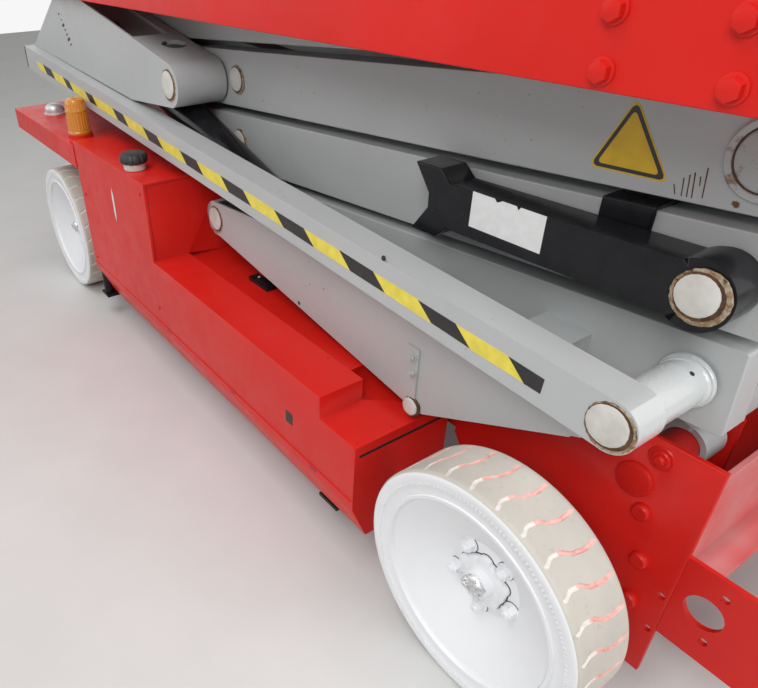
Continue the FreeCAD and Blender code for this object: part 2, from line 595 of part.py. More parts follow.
# Scissor arms.
low_start, low_end, arm_half = (near_x, level_z(0)), (far_x, level_z(1)), size("arm_depth") / 2
low_length = math.hypot(low_end[0] - low_start[0], low_end[1] - low_start[1])
low_along = ((low_end[0] - low_start[0]) / low_length, (low_end[1] - low_start[1]) / low_length)
boss, bevel, reach = size("foot_boss"), size("arm_bevel"), low_length + size("arm_reach")
low_points = [(low_start[0] + far * low_along[0] - off * low_along[1], low_start[1] + far * low_along[1] + off * low_along[0])
              for far, off in ((0, -boss), (size("foot_taper"), -arm_half), (reach - bevel, -arm_half),
                               (reach, -arm_half + bevel), (reach, arm_half - bevel), (reach - bevel, arm_half),
                               (size("foot_taper"), arm_half), (0, boss))]
low_bar = prism("ArmOneInnerSide", low_points, "xz", "inner_arm_in", "inner_arm_out")
foot_boss = cross_rod("FootBoss", "foot_boss", NEAR, "base_pin_z", "inner_arm_in", "inner_arm_out")
chassis_arm = cut("ArmOneInner", fuse("ArmOneInnerSolid", [low_bar, foot_boss]),
                  bores("ArmOneInner", ((NEAR, "base_pin_z"), (FAR, level_text(1))), "inner"))
node("arm_1_inner", fuse("ArmOneInnerPair", [both_sides("ArmOneInnerBoth", chassis_arm),
     cross_tube("CentreOne", MIDDLE, "base_pin_z + 0.5 * level_rise", "outer_arm_out - 2")]))


def roller(name, z, y_arm):
    """A roller on its stub axle, the axle held by the arm."""
    wheel_part = cross_rod(name + "Wheel", "roller_radius", FAR, z, "roller_out - roller_width", "roller_out")
    axle = cross_rod(name + "Axle", "axle_radius", FAR, z, "roller_out - roller_width", y_arm)
    return both_sides(name, fuse(name + "Side", [wheel_part, axle]))


outer_one = cut("ArmOneOuter", arm("ArmOneOuter", 1, True, "outer"),
                bores("ArmOneOuter", ((MIDDLE, "base_pin_z + 0.5 * level_rise"), (NEAR, level_text(1))), "outer"))
node("arm_1_outer", pair("ArmOneOuterBoth", outer_one))
node("lower_rollers", roller("LowerRoller", "base_pin_z", "outer_arm_in"))

# Lower leaf: outer plate, foot flange and nose tube, on the outer arm of level one.
nose, nose_r = (size("lower_nose_x"), size("lower_nose_z")), size("lower_nose_radius")
joint = (near_x, level_z(1))
leaf_points = ((nose[0] - 20, nose[1] + nose_r - 3), (nose[0] - nose_r * 0.8, nose[1] - nose_r * 0.6),
               (nose[0] + 20, nose[1] - nose_r + 2), (977, 458), (1010, 460), (joint[0] - 30, joint[1] - 46),
               (joint[0] + 20, joint[1] + 40), (joint[0] - 100, joint[1] + 44))
leaf_plate = prism("LowerLeafPlate", leaf_points, "xz", "base_leaf_out - leaf_wall", "base_leaf_out")
nose_tube = cross_rod("LowerNose", "lower_nose_radius", "lower_nose_x", "lower_nose_z", "outer_arm_out",
                      "base_leaf_out")
flange_points = ((nose[0] + 20, nose[1] - nose_r + 2), (977, 458), (1010, 460), (1380, 640), (1380, 650),
                 (1006, 470), (977, 468), (nose[0] + 20, nose[1] - nose_r + 12))
flange = prism("LowerFlange", flange_points, "xz", "side_plate_in + side_plate_wall + 6", "base_leaf_out")
pin_lug = box("PinLug", ("low_pin_x - 50", "low_pin_x + 50"), ("side_plate_in + side_plate_wall + 6",
              "side_plate_in + side_plate_wall + 16"), ("458", "low_pin_z + 50"))
low_pin = cross_rod("LowPin", "lift_pin_radius", "low_pin_x", "low_pin_z", "side_plate_in + side_plate_wall + 6",
                    "base_leaf_out")
tie_block = box("TieBlock", ("1180", "1290"), ("outer_arm_out", "base_leaf_out"), ("720", "770"))
joint_bore = cross_rod("LeafJointBore", "pin_radius + 20", NEAR, level_text(1), "outer_arm_out", "base_leaf_out + 5")
lower_leaf = cut("LowerLeaf", fuse("LowerLeafSolid", [leaf_plate, nose_tube, flange, pin_lug, low_pin, tie_block]),
                 [joint_bore])
node("lower_leaves", pair("LowerLeaves", lower_leaf))

# Level two: inner arms, tied by their tubes to the striped outer arms and the upper leaves.
inner_two = arm("ArmTwoInner", 2, False, "inner")
joint_tube = cross_tube("JointOneNear", NEAR, level_text(1), "outrigger_in")
far_tube = cross_tube("JointTwoFar", FAR, level_text(2), "outrigger_in")
centre_two = cross_tube("CentreTwo", MIDDLE, "base_pin_z + 1.5 * level_rise", "outer_arm_out + pin_proud")
node("arm_2_inner", fuse("ArmTwoInnerPair", [both_sides("ArmTwoInnerBoth", inner_two), joint_tube, far_tube, centre_two]))
stripe_points = bar_outline((near_x, level_z(1)), (far_x, level_z(2)), size("outrigger_depth"), 0,
                            size("outrigger_tip"), 2, 2)
striped = prism("StripedArm", stripe_points, "xz", "outrigger_in", "outrigger_out")
striped_boss = cross_rod("StripedBoss", "outrigger_boss", NEAR, level_text(1), "outrigger_in", "outrigger_out")
sleeve = cut("StripedSleeve", cross_rod("SleeveSolid", "sleeve_radius", NEAR, level_text(1), "outer_arm_out + 6", "outrigger_in"),
             [cross_rod("SleeveBore", "pin_radius", NEAR, level_text(1), "outer_arm_out", "outrigger_in")])
node("striped_arms", pair("StripedArms", fuse("StripedSide", [striped, striped_boss, sleeve])))

up, up_r = (size("upper_nose_x"), size("upper_nose_z")), size("upper_nose_radius")
lift_outer = ((up[0] + 14, up[1] + up_r - 2), (-1137, 1289), (far_x - 85, 1012), (far_x - 60, 1012),
              (-505, 949), (up[0] + 6, up[1] - up_r + 1))
lift_inner = ((up[0] + 14, up[1] + up_r - 2), (-1137, 1289), (far_x - 85, 1012), (far_x - 60, 925),
              (far_x + 60, 925), (-1200, 1000), (up[0] + 6, up[1] - up_r + 1))
outer_leaf = prism("UpperLeafOuter", lift_outer, "xz", "lift_leaf_out - leaf_wall", "lift_leaf_out")
inner_leaf = prism("UpperLeafInner", lift_inner, "xz", "lift_leaf_in", "lift_leaf_in + leaf_wall")
cap_points = ((up[0] + 14, up[1] + up_r - 2), (-1137, 1289), (far_x - 85, 1012), (far_x - 76, 1008),
              (-1137, 1276), (up[0] + 10, up[1] + up_r - 14))
cap_plate = prism("UpperLeafCap", cap_points, "xz", "lift_leaf_in", "lift_leaf_out")
upper_nose = cross_rod("UpperNose", "upper_nose_radius", "upper_nose_x", "upper_nose_z", "lift_leaf_in", "lift_leaf_out")
leaf_hole = rod("LeafHole", "leaf_hole_radius", "z", ("-330", "cylinder_y", "1100"), "200")
leaf_top = box("LeafTop", ("leaf_open_far", "leaf_open_near"), ("lift_leaf_in + leaf_rim", "lift_leaf_out - leaf_wall"),
               ("1050", "1320"))
upper_leaf = cut("UpperLeaf", fuse("UpperLeafSolid", [outer_leaf, inner_leaf, cap_plate, upper_nose]),
                 [cross_rod("LeafTubeHole", "pin_radius", FAR, level_text(2), "lift_leaf_in - 1", "outrigger_in"), leaf_hole, leaf_top,
                  prism("LeafOverStripe", stripe_points, "xz", "outrigger_in", "lift_leaf_out + 1")])
node("upper_leaves", pair("UpperLeaves", upper_leaf))

outer_two = cut("ArmTwoOuter", arm("ArmTwoOuter", 2, True, "outer"),
                bores("ArmTwoOuter", ((MIDDLE, "base_pin_z + 1.5 * level_rise"), (NEAR, level_text(2))), "outer"))
node("arm_2_outer", fuse("ArmTwoOuterPair", [both_sides("ArmTwoOuterBoth", outer_two),
     cross_tube("JointOneFar", FAR, level_text(1), "outer_arm_out + pin_proud")]))

inner_three = cut("ArmThreeInner", arm("ArmThreeInner", 3, False, "inner"),
                  bores("ArmThreeInner", ((FAR, level_text(3)),), "inner"))
node("arm_3_inner", fuse("ArmThreeInnerPair", [both_sides("ArmThreeInnerBoth", inner_three),
     cross_tube("JointTwoNear", NEAR, level_text(2), "outer_arm_out - 2"),
     cross_tube("CentreThree", MIDDLE, "base_pin_z + 2.5 * level_rise", "outer_arm_out + pin_proud")]))

outer_three = cut("ArmThreeOuter", arm("ArmThreeOuter", 3, True, "outer"),
                  bores("ArmThreeOuter", ((MIDDLE, "base_pin_z + 2.5 * level_rise"), (FAR, level_text(2))), "outer"))
node("arm_3_outer", fuse("ArmThreeOuterPair", [both_sides("ArmThreeOuterBoth", outer_three),
     cross_tube("JointThreeNear", NEAR, level_text(3), "outer_arm_out + pin_proud")]))

inner_four = cut("ArmFourInner", arm("ArmFourInner", 4, False, "inner"),
                 bores("ArmFourInner", ((NEAR, level_text(3)),), "inner"))
node("arm_4_inner", fuse("ArmFourInnerPair", [both_sides("ArmFourInnerBoth", inner_four),
     cross_tube("CentreFour", MIDDLE, "base_pin_z + 3.5 * level_rise", "outer_arm_out + pin_proud")]))
node("upper_rollers", roller("UpperRoller", level_text(4), "inner_arm_in"))

outer_four = cut("ArmFourOuter", arm("ArmFourOuter", 4, True, "outer"),
                 bores("ArmFourOuter", ((MIDDLE, "base_pin_z + 3.5 * level_rise"), (NEAR, level_text(4))), "outer"))
node("arm_4_outer", fuse("ArmFourOuterPair", [both_sides("ArmFourOuterBoth", outer_four),
     cross_tube("JointThreeFar", FAR, level_text(3), "outer_arm_out + pin_proud")]))

# Lift cylinders from the lower leaf to the upper leaf.
low_pin_at = FreeCAD.Vector(size("low_pin_x"), size("cylinder_y"), size("low_pin_z"))
high_pin_at = FreeCAD.Vector(size("high_pin_x"), size("cylinder_y"), size("high_pin_z"))
aim = high_pin_at - low_pin_at
aim.normalize()
aim_angle = math.degrees(math.atan2(aim.x, aim.z))


def along(name, radius, start, end):
    """A round bar on the cylinder's line between two distances from the lower pin."""
    made = doc.addObject("Part::Cylinder", name)
    bind(made, "Radius", radius)
    made.Height = end - start
    made.Placement = FreeCAD.Placement(low_pin_at + aim * start, FreeCAD.Rotation(AXES["y"], aim_angle))
    return made


pin_distance = (high_pin_at - low_pin_at).Length
eye_half = ("cylinder_y - eye_width / 2", "cylinder_y + eye_width / 2")
low_eye = cross_rod("LowEye", "eye_radius", "low_pin_x", "low_pin_z", *eye_half)
barrel = fuse("BarrelSolid", [low_eye, along("BarrelFoot", "eye_radius - 10", 20, 90),
                              along("BarrelTube", "barrel_radius", size("barrel_start"), size("barrel_length"))])
barrel_cut = cut("BarrelSide", barrel,
                 [along("BarrelBore", "rod_radius + pin_gap", size("barrel_floor"), size("barrel_length") + 1),
                  cross_rod("LowEyeBore", "lift_pin_radius + pin_gap", "low_pin_x", "low_pin_z",
                            "cylinder_y - eye_width", "cylinder_y + eye_width")])
node("lift_barrels", pair("LiftBarrels", barrel_cut))
high_eye = cross_rod("HighEye", "eye_radius", "high_pin_x", "high_pin_z", *eye_half)
high_pin = cross_rod("HighPin", "lift_pin_radius", "high_pin_x", "high_pin_z", "cylinder_y - 48", "cylinder_y + 48")
lift_rod = along("RodBar", "rod_radius", size("rod_start"), pin_distance - 20)
node("lift_rods", pair("LiftRods", fuse("RodSide", [high_eye, high_pin, lift_rod])))

# Maintenance lock on the pin of level two, stowed along its arm.
pin_at = (near_x, level_z(2))
slope = math.radians(size("lock_slope"))
lock_dir = (-math.cos(slope), math.sin(slope))


def lock_point(far, off):
    return (pin_at[0] + far * lock_dir[0] + off * lock_dir[1], pin_at[1] + far * lock_dir[1] - off * lock_dir[0])


half, length, fork_run = size("lock_depth") / 2, size("lock_length"), size("lock_fork")
flare, notch = size("lock_flare"), size("lock_notch")
lock_points = [lock_point(far, off) for far, off in
               ((0, -half), (length - 20, -half), (length + 10, -half - flare), (length + fork_run, -half - flare),
                (length + fork_run - notch, -16), (length + fork_run - notch, 16), (length + fork_run, half + flare),
                (length + 10, half + flare), (length - 20, half), (0, half))]
lock_bar = prism("LockBar", lock_points, "xz", "lock_in", "lock_out")
lock_eye = cross_rod("LockEye", "lock_eye", NEAR, level_text(2), "lock_in", "lock_out")
lock_bore = cross_rod("LockBore", "pin_radius + pin_gap", NEAR, level_text(2), "lock_in - 1", "lock_out + 1")
node("maintenance_lock", pair("MaintenanceLock", cut("LockSide", fuse("LockSolid", [lock_bar, lock_eye]), [lock_bore])))
hang_disc = cross_rod("HangDisc", "boss_radius", NEAR, level_text(2), "outer_arm_out", "lock_in - 1")
hang_pin = cross_rod("HangPin", "pin_radius", NEAR, level_text(2), "outer_arm_out", "lock_out + 5")
arm_top = [(x, level_z(1.5) + (x - mid_x) * (level_z(2) - level_z(1)) / (near_x - far_x) + size("arm_depth") / 2 / math.cos(math.atan2(size("level_rise"), size("pin_span"))))
           for x in (size("saddle_far"), size("saddle_near"))]
drop, wall = 52, size("saddle_wall")
saddle = prism("Saddle", [arm_top[0], arm_top[1], (arm_top[1][0], arm_top[1][1] + wall), (arm_top[0][0], arm_top[0][1] + wall)],
               "xz", "outer_arm_in", "lock_in - 2")
saddle_face = prism("SaddleFace", [(arm_top[0][0], arm_top[0][1] - drop), (arm_top[1][0], arm_top[1][1] - drop),
                                   (arm_top[1][0], arm_top[1][1] + wall), (arm_top[0][0], arm_top[0][1] + wall)],
                    "xz", "outer_arm_out", "lock_in - 2")
node("lock_pins", pair("LockPins", fuse("LockPinSide", [hang_disc, hang_pin, saddle, saddle_face])))

# Platform: floor, sides with lips, roller channels, pivot brackets.
floor = box("Floor", ("-deck_half", "deck_half"), ("-skirt_out", "skirt_out"), ("deck_high - deck_wall", "deck_high"))
skirt = box("Skirt", ("-deck_half", "deck_half"), ("skirt_out - skirt_wall", "skirt_out"), ("skirt_low", "deck_high - deck_wall"))
skirt_lip = box("SkirtLip", ("-deck_half", "deck_half"), ("skirt_out - skirt_lip", "skirt_out - skirt_wall"),
                ("skirt_low", "skirt_low + skirt_wall"))
end_beams = [box("EndBeam%d" % index, (x, x + " + skirt_wall"), ("-skirt_out", "skirt_out"), ("beam_low", "deck_high - deck_wall"))
             for index, x in enumerate(("-deck_half", "deck_half - skirt_wall"))]
floor_beams = [box("FloorBeam%d" % index, ("%d" % x, "%d + beam_width" % x), ("-skirt_out + skirt_wall", "skirt_out - skirt_wall"),
                   ("beam_low", "deck_high - deck_wall"))
               for index, x in enumerate((-1640, -1200, -760, -320, 120, 560, 1000, 1600))]
high_track = roller_channel("HighTrack", level_text(4))
track_hangers = [box("TrackHanger%d" % index, ("%d" % x, "%d + beam_width" % x), ("track_in", "track_out"),
                     (level_text(4) + " + roller_radius + track_gap + track_wall", "beam_low"))
                 for index, x in enumerate((-1640, -1200, -760))]
PIVOT = (NEAR + " - 88", NEAR + " + 88")
bracket = box("PivotBracket", PIVOT, ("outer_arm_out + 10", "outer_arm_out + 22"), ("skirt_low + 20", "deck_high - deck_wall"))
bracket_top = box("PivotShelf", PIVOT, ("outer_arm_out + 22", "skirt_out - skirt_wall"), ("skirt_low + 20", "skirt_low + 96"))
inner_bracket = box("InnerPivotBracket", PIVOT, ("outer_arm_in - 17", "outer_arm_in - 7"), (level_text(4) + " - 60", "deck_high - deck_wall"))
pivot_pin = cross_rod("PivotPin", "pin_radius", NEAR, level_text(4), "outer_arm_in - 17", "outer_arm_out + 22")
side_parts = fuse("PlatformSide", [skirt, skirt_lip, high_track, bracket, bracket_top, inner_bracket, pivot_pin] + track_hangers)
node("platform_floor", fuse("PlatformFloor", [floor] + end_beams + floor_beams + [both_sides("PlatformSides", side_parts)]))

# Guard rails on three sides; the sliding deck's own rails close the fourth.
TOP = "deck_high + guard_height - tube_radius"
MID = "deck_high + guard_height / 2"
rails = [rod("GuardTop", "rail_radius", "x", ("-guard_x", "guard_y", TOP), "2 * guard_x"),
         rod("GuardMid", "rail_radius", "x", ("-guard_x", "guard_y", MID), "2 * guard_x")]
rails += [rod("GuardPost%d" % index, "tube_radius", "z", (x, "guard_y", "deck_high"), "guard_height - tube_radius")
          for index, x in enumerate(("-guard_x", "-guard_x / 3", "guard_x / 3", "guard_x"))]
rails += [rod("GatePost", "tube_radius", "z", ("guard_x", "gate_half + tube_radius", "deck_high"), "guard_height - tube_radius"),
          rod("GuardEndTop", "rail_radius", "y", ("guard_x", "gate_half + tube_radius", TOP), "guard_y - gate_half - tube_radius"),
          rod("GuardEndMid", "rail_radius", "y", ("guard_x", "gate_half + tube_radius", MID), "guard_y - gate_half - tube_radius"),
          box("ToeSide", ("-guard_x", "guard_x"), ("guard_y - 3", "guard_y + 3"), ("deck_high", "deck_high + toe_height")),
          box("ToeEnd", ("guard_x - 3", "guard_x + 3"), ("gate_half + tube_radius", "guard_y"), ("deck_high", "deck_high + toe_height"))]
node("guard_rails", pair("GuardRails", fuse("GuardSide", rails)))
GATE = "gate_half - gate_gap"
STILE = "gate_half - gate_gap - tube_radius"
gate = [rod("GateRail%d" % index, "tube_radius - 2", "y", ("guard_x", "-(%s)" % STILE, z), "2 * (%s)" % STILE)
        for index, z in enumerate((TOP + " - 4", MID, "deck_high + toe_height + 24"))]
gate += [rod("GateStile%d" % index, "tube_radius", "z", ("guard_x", y, "deck_high + toe_height"),
             "guard_height - toe_height") for index, y in enumerate(("-(%s)" % STILE, STILE))]
gate.append(box("GateToe", ("guard_x - 3", "guard_x + 3"), ("-(%s)" % GATE, GATE), ("deck_high + 12", "deck_high + toe_height + 10")))
for index, z in enumerate(("deck_high + 270", "deck_high + 820")):
    sleeve = rod("GateSleeve%d" % index, "tube_radius + 8", "z", ("guard_x", "gate_half + tube_radius", z), "50")
    strap = box("GateStrap%d" % index, ("guard_x - 4", "guard_x + 4"), (GATE + " - 10", "gate_half + tube_radius"),
                (z, z + " + 50"))
    bore = rod("GateBore%d" % index, "tube_radius + pin_gap", "z", ("guard_x", "gate_half + tube_radius", z + " - 1"), "52")
    gate.append(cut("GateHinge%d" % index, fuse("GateHingeSolid%d" % index, [sleeve, strap]), [bore]))
node("entry_gate", fuse("EntryGate", gate))

# Sliding deck with its rails and the control box.
SLIDE_FLOOR = "deck_high + slide_lift"
slide_deck = box("SlideDeck", ("-slide_front", "-slide_back"), ("-slide_y - 16", "slide_y + 16"), (SLIDE_FLOOR, SLIDE_FLOOR + " + slide_wall"))
front_toe = box("SlideToe", ("-slide_front", "-slide_front + 6"), ("-slide_y - 16", "slide_y + 16"), (SLIDE_FLOOR, "deck_high + toe_height"))
side_toe = box("SlideSideToe", ("-slide_front", "-slide_back"), ("slide_y - 3", "slide_y + 3"), (SLIDE_FLOOR, "deck_high + toe_height"))
runner = box("SlideRunner", ("-slide_front + 120", "-slide_back"), ("slide_y - 60", "slide_y - 20"),
             ("deck_high + pin_gap", SLIDE_FLOOR))
node("slide_deck", fuse("SlideDeckAll", [slide_deck, front_toe, both_sides("SlideToes", fuse("SlideToeSide", [side_toe, runner]))]))
FRONT = "-slide_front + tube_radius + 8"
slide_rails = [rod("SlideTop", "tube_radius - 3", "x", (FRONT, "slide_y", TOP), "slide_front - slide_back - tube_radius - 8"),
               rod("SlideMid", "tube_radius - 3", "x", (FRONT, "slide_y", MID), "slide_front - slide_back - tube_radius - 8")]
slide_rails += [rod("SlidePost%d" % index, "tube_radius - 3", "z", (x, "slide_y", "deck_high + toe_height"), "guard_height - toe_height - tube_radius")
                for index, x in enumerate((FRONT, "-(slide_front + slide_back) / 2", "-slide_back - 30"))]
slide_side = both_sides("SlideSides", fuse("SlideSide", slide_rails))
front_rails = [rod("SlideFront%d" % index, "tube_radius - 3", "y", (FRONT, "-slide_y", z), "2 * slide_y") for index, z in enumerate((TOP, MID))]
node("slide_rails", fuse("SlideRails", [slide_side] + front_rails))
node("control_box", box("ControlBox", ("-slide_front + 2 * tube_radius + 5.3", "-slide_front + 168"), ("120", "400"), ("deck_high + 880", "deck_high + 1086")))

doc.recompute()
problems = [item.Name for item in doc.Objects if "Invalid" in item.State or "Error" in item.State]
problems += [piece.Label for piece in nodes if piece.Shape.isNull() or not piece.Shape.isValid()]
if problems:
    raise RuntimeError("not built: " + ", ".join(problems))
os.makedirs("parts", exist_ok=True)
for piece in nodes:
    piece.Shape.exportStep("parts/%s.step" % piece.Label)
    print("%-18s solids %d, %.0f cm3" % (piece.Label, len(piece.Shape.Solids), piece.Shape.Volume / 1000))
print(len(nodes), "nodes")
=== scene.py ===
"""Scissor lift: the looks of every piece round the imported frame."""
import json
import math
import random

import bmesh
import bpy
from mathutils import Matrix, Vector


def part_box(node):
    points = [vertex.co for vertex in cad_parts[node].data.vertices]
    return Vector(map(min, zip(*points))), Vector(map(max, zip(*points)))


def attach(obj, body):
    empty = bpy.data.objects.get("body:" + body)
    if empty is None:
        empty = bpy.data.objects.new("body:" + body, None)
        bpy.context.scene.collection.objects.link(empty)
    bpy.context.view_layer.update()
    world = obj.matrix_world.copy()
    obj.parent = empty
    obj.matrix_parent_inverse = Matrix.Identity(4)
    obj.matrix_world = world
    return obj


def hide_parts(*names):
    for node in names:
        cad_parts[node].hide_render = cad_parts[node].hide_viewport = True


bl_info = {
    "name": "Scissor Lift",
    "version": (1, 0, 0),
    "blender": (4, 5, 0),
    "location": "View3D > Sidebar > Scissor Lift",
    "description": "Dresses a parked scissor lift with paint, rust, tyres, bolts and rails",
    "category": "Object",
}

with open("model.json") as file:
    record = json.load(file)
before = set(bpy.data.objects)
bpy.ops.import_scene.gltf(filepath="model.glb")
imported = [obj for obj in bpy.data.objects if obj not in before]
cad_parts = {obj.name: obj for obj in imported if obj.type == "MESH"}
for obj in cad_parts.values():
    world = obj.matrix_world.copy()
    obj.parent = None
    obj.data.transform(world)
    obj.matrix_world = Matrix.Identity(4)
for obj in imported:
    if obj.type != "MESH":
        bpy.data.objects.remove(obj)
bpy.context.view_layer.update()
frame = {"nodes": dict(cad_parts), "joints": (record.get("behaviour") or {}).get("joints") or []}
JOINTS = {joint["name"]: joint for joint in frame["joints"]}


def joint_place(name):
    return Vector(JOINTS[name]["pos_m"])


# Places of the scissor pins, read from the frame's joints.
NEAR_X = joint_place("lift").x
MIDDLE_X = joint_place("arm_1_cross").x
FAR_X = 2 * MIDDLE_X - NEAR_X
BASE_Z = joint_place("lift").z
RISE = joint_place("arm_2_foot").z - BASE_Z
# Faces of the pieces, out from the machine's middle, in metres.
ARM_FACE = 0.410
PIN_FACE = 0.414
SIDE_FACE = 0.428
LOCK_FACE = 0.500
LEAF_FACE = 0.560
STRIPED_IN, STRIPED_OUT = 0.5655, 0.640
# How far a striped arm reaches past its far pin.
ARM_TIP = 0.0955
# From a wheel's tread in to its rim.
TYRE_WALL = 0.054
MM = 0.001
TURN = 2 * math.pi
Z_AXIS = Vector((0, 0, 1))
SIDES = (("left", -1), ("right", 1))
WHEELS = (("steer_left", -1), ("steer_right", 1), ("fixed_left", -1), ("fixed_right", 1))


def level_z(level):
    return BASE_Z + level * RISE


def colour_prop(label, what, default):
    return bpy.props.FloatVectorProperty(name=label, description=what, default=(*default, 1), size=4, min=0,
                                         max=1, subtype="COLOR")


def length_prop(label, what, default):
    return bpy.props.FloatProperty(name=label, description=what, default=default, min=0, unit="LENGTH")


class LiftColours(bpy.types.PropertyGroup):
    red: colour_prop("Red", "Enamel on the chassis and platform", (0.66, 0.014, 0.009))
    grey: colour_prop("Grey", "Enamel on the scissor arms", (0.455, 0.470, 0.472))
    white: colour_prop("White", "Paint on the wheels", (0.80, 0.81, 0.83))
    black: colour_prop("Black", "Gloss paint on cylinders and locks", (0.010, 0.010, 0.012))
    rubber: colour_prop("Rubber", "Non-marking tyre", (0.54, 0.51, 0.455))
    # Pink paint in the tyre's grooves, with the highlight of their lit walls painted in.
    overspray: colour_prop("Overspray", "Pink tint in the tyre's grooves", (0.84, 0.46, 0.41))
    yellow: colour_prop("Yellow", "Stripes of the tape", (0.76, 0.63, 0.075))
    sign: colour_prop("Sign yellow", "Blank warning plates", (0.66, 0.42, 0.012))
    amber: colour_prop("Amber", "Beacon lens", (0.88, 0.34, 0.022))
    rust: colour_prop("Rust", "Rust round the pin ends", (0.10, 0.045, 0.018))
    steel: colour_prop("Steel", "Zinc plated steel", (0.50, 0.50, 0.49))
    floor: colour_prop("Floor", "Plain studio floor", (0.62, 0.62, 0.61))


class LiftSizes(bpy.types.PropertyGroup):
    stripe_height: length_prop("Stripe height", "Height of the striped tape", 0.033)
    tape: length_prop("Tape", "Thickness of tapes and labels", 0.0004)
    groove_width: length_prop("Groove width", "Tread groove on the tyres", 0.0085)
    groove_depth: length_prop("Groove depth", "Tread groove on the tyres", 0.0035)
    bolt_radius: length_prop("Bolt head", "Radius of the platform bolts' heads", 0.014)
    arm_edge: length_prop("Arm edge", "Rounding of the arms' corners", 0.007)
    sheet_edge: length_prop("Sheet edge", "Rounding of folded sheet corners", 0.004)


def colours():
    return bpy.context.scene.lift_colours


def sizes():
    return bpy.context.scene.lift_sizes


# Nodes of a material.
def new_material(name):
    material = bpy.data.materials.new(name)
    material.use_nodes = True
    tree = material.node_tree
    tree.nodes.clear()
    output = tree.nodes.new("ShaderNodeOutputMaterial")
    shader = tree.nodes.new("ShaderNodeBsdfPrincipled")
    tree.links.new(shader.outputs[0], output.inputs["Surface"])
    return material, tree, shader


def feed(tree, socket, value):
    """Links a socket to another, or sets its own value."""
    if isinstance(value, bpy.types.NodeSocket):
        tree.links.new(value, socket)
    else:
        socket.default_value = value


def place_node(tree):
    return tree.nodes.new("ShaderNodeTexCoord").outputs["Object"]


def noise(tree, scale, detail=4.0, rough=0.55, stretch=None):
    node = tree.nodes.new("ShaderNodeTexNoise")
    for name, value in (("Scale", scale), ("Detail", detail), ("Roughness", rough)):
        node.inputs[name].default_value = value
    source = place_node(tree)
    if stretch:
        mapping = tree.nodes.new("ShaderNodeMapping")
        mapping.inputs["Scale"].default_value = stretch
        tree.links.new(source, mapping.inputs["Vector"])
        source = mapping.outputs[0]
    tree.links.new(source, node.inputs["Vector"])
    return node.outputs["Fac"]


def band(tree, value, low, high, low_to=0.0, high_to=1.0):
    node = tree.nodes.new("ShaderNodeMapRange")
    for name, edge in (("From Min", low), ("From Max", high), ("To Min", low_to), ("To Max", high_to)):
        node.inputs[name].default_value = edge
    tree.links.new(value, node.inputs["Value"])
    return node.outputs["Result"]


def blend_colour(tree, share, first, second):
    node = tree.nodes.new("ShaderNodeMix")
    node.data_type = "RGBA"
    for name, value in (("Factor", share), ("A", first), ("B", second)):
        feed(tree, node.inputs[name], value)
    return node.outputs["Result"]


def reckon(tree, operation, first, second=0.0, clamp=False):
    node = tree.nodes.new("ShaderNodeMath")
    node.operation = operation
    node.use_clamp = clamp
    feed(tree, node.inputs[0], first)
    feed(tree, node.inputs[1], second)
    return node.outputs[0]


def product(tree, first, second, operation="MULTIPLY"):
    return reckon(tree, operation, first, second, True)


def shaded(colour, factor):
    return tuple(min(1.0, channel * factor) for channel in colour[:3]) + (1.0,)


def complete(tree, shader, tone, roughness, grain, distance, strength, **more):
    """Joins the tone, roughness, fine relief and any other socket to a shader."""
    tree.links.new(tone, shader.inputs["Base Color"])
    feed(tree, shader.inputs["Roughness"], roughness)
    for name, value in more.items():
        shader.inputs[name.replace("_", " ")].default_value = value
    node = tree.nodes.new("ShaderNodeBump")
    node.inputs["Distance"].default_value = distance
    node.inputs["Strength"].default_value = strength
    tree.links.new(noise(tree, *grain) if isinstance(grain, tuple) else grain, node.inputs["Height"])
    tree.links.new(node.outputs[0], shader.inputs["Normal"])


def mottled(tree, grain, colour, low, high, start=0.3):
    """A colour that drifts between two shades of itself."""
    drift = band(tree, noise(tree, *grain), start, 0.7)
    return blend_colour(tree, drift, shaded(colour, low), shaded(colour, high))


# Materials.
def enamel(name, colour, roughness, coat, dust, chips, wash, gloss):
    """Brushed or sprayed enamel with uneven gloss, dust, faint dirt streaks and chips."""
    material, tree, shader = new_material(name)
    tone = mottled(tree, (2.2, 5.0), colour, 1 - wash, 1 + wash * 0.35, 0.35)
    dusty = product(tree, band(tree, noise(tree, 9.0, 8.0, 0.7), 0.52, 0.78), dust)
    tone = blend_colour(tree, dusty, tone, (0.36, 0.33, 0.30, 1))
    streak = product(tree, band(tree, noise(tree, 30.0, 3.0, 0.5, (1, 1, 0.08)), 0.6, 0.8), dust * 0.6)
    tone = blend_colour(tree, streak, tone, shaded(colour, 0.35))
    if chips:
        chip = band(tree, noise(tree, 70.0, 3.0, 0.6), 0.70, 0.72)
        patch = band(tree, noise(tree, 3.1, 2.0), 0.55, 0.65)
        tone = blend_colour(tree, product(tree, chip, patch), tone, chips)
    uneven = band(tree, noise(tree, 14.0, 6.0, 0.65), 0.3, 0.75, roughness - 0.07, roughness + 0.12)
    complete(tree, shader, tone, uneven, (160.0, 3.0, 0.5), 0.0003, 0.35, Coat_Weight=coat, Coat_Roughness=0.12,
             Specular_IOR_Level=gloss)
    return material


def plain(name, colour, roughness, metallic=0.0, mottling=0.12, scale=24.0, bump=0.0002):
    material, tree, shader = new_material(name)
    tone = mottled(tree, (scale, 5.0), colour, 1 - mottling, 1 + mottling)
    uneven = band(tree, noise(tree, scale * 2.3, 4.0), 0.3, 0.7, roughness - 0.06, roughness + 0.08)
    complete(tree, shader, tone, uneven, (scale * 9, 3.0), bump, 0.4, Metallic=metallic)
    return material


def black_enamel():
    material = plain("black_enamel", colours().black, 0.20, 0.0, 0.3, 18.0, 0.0001)
    material.node_tree.nodes["Principled BSDF"].inputs["Specular IOR Level"].default_value = 0.22
    return material


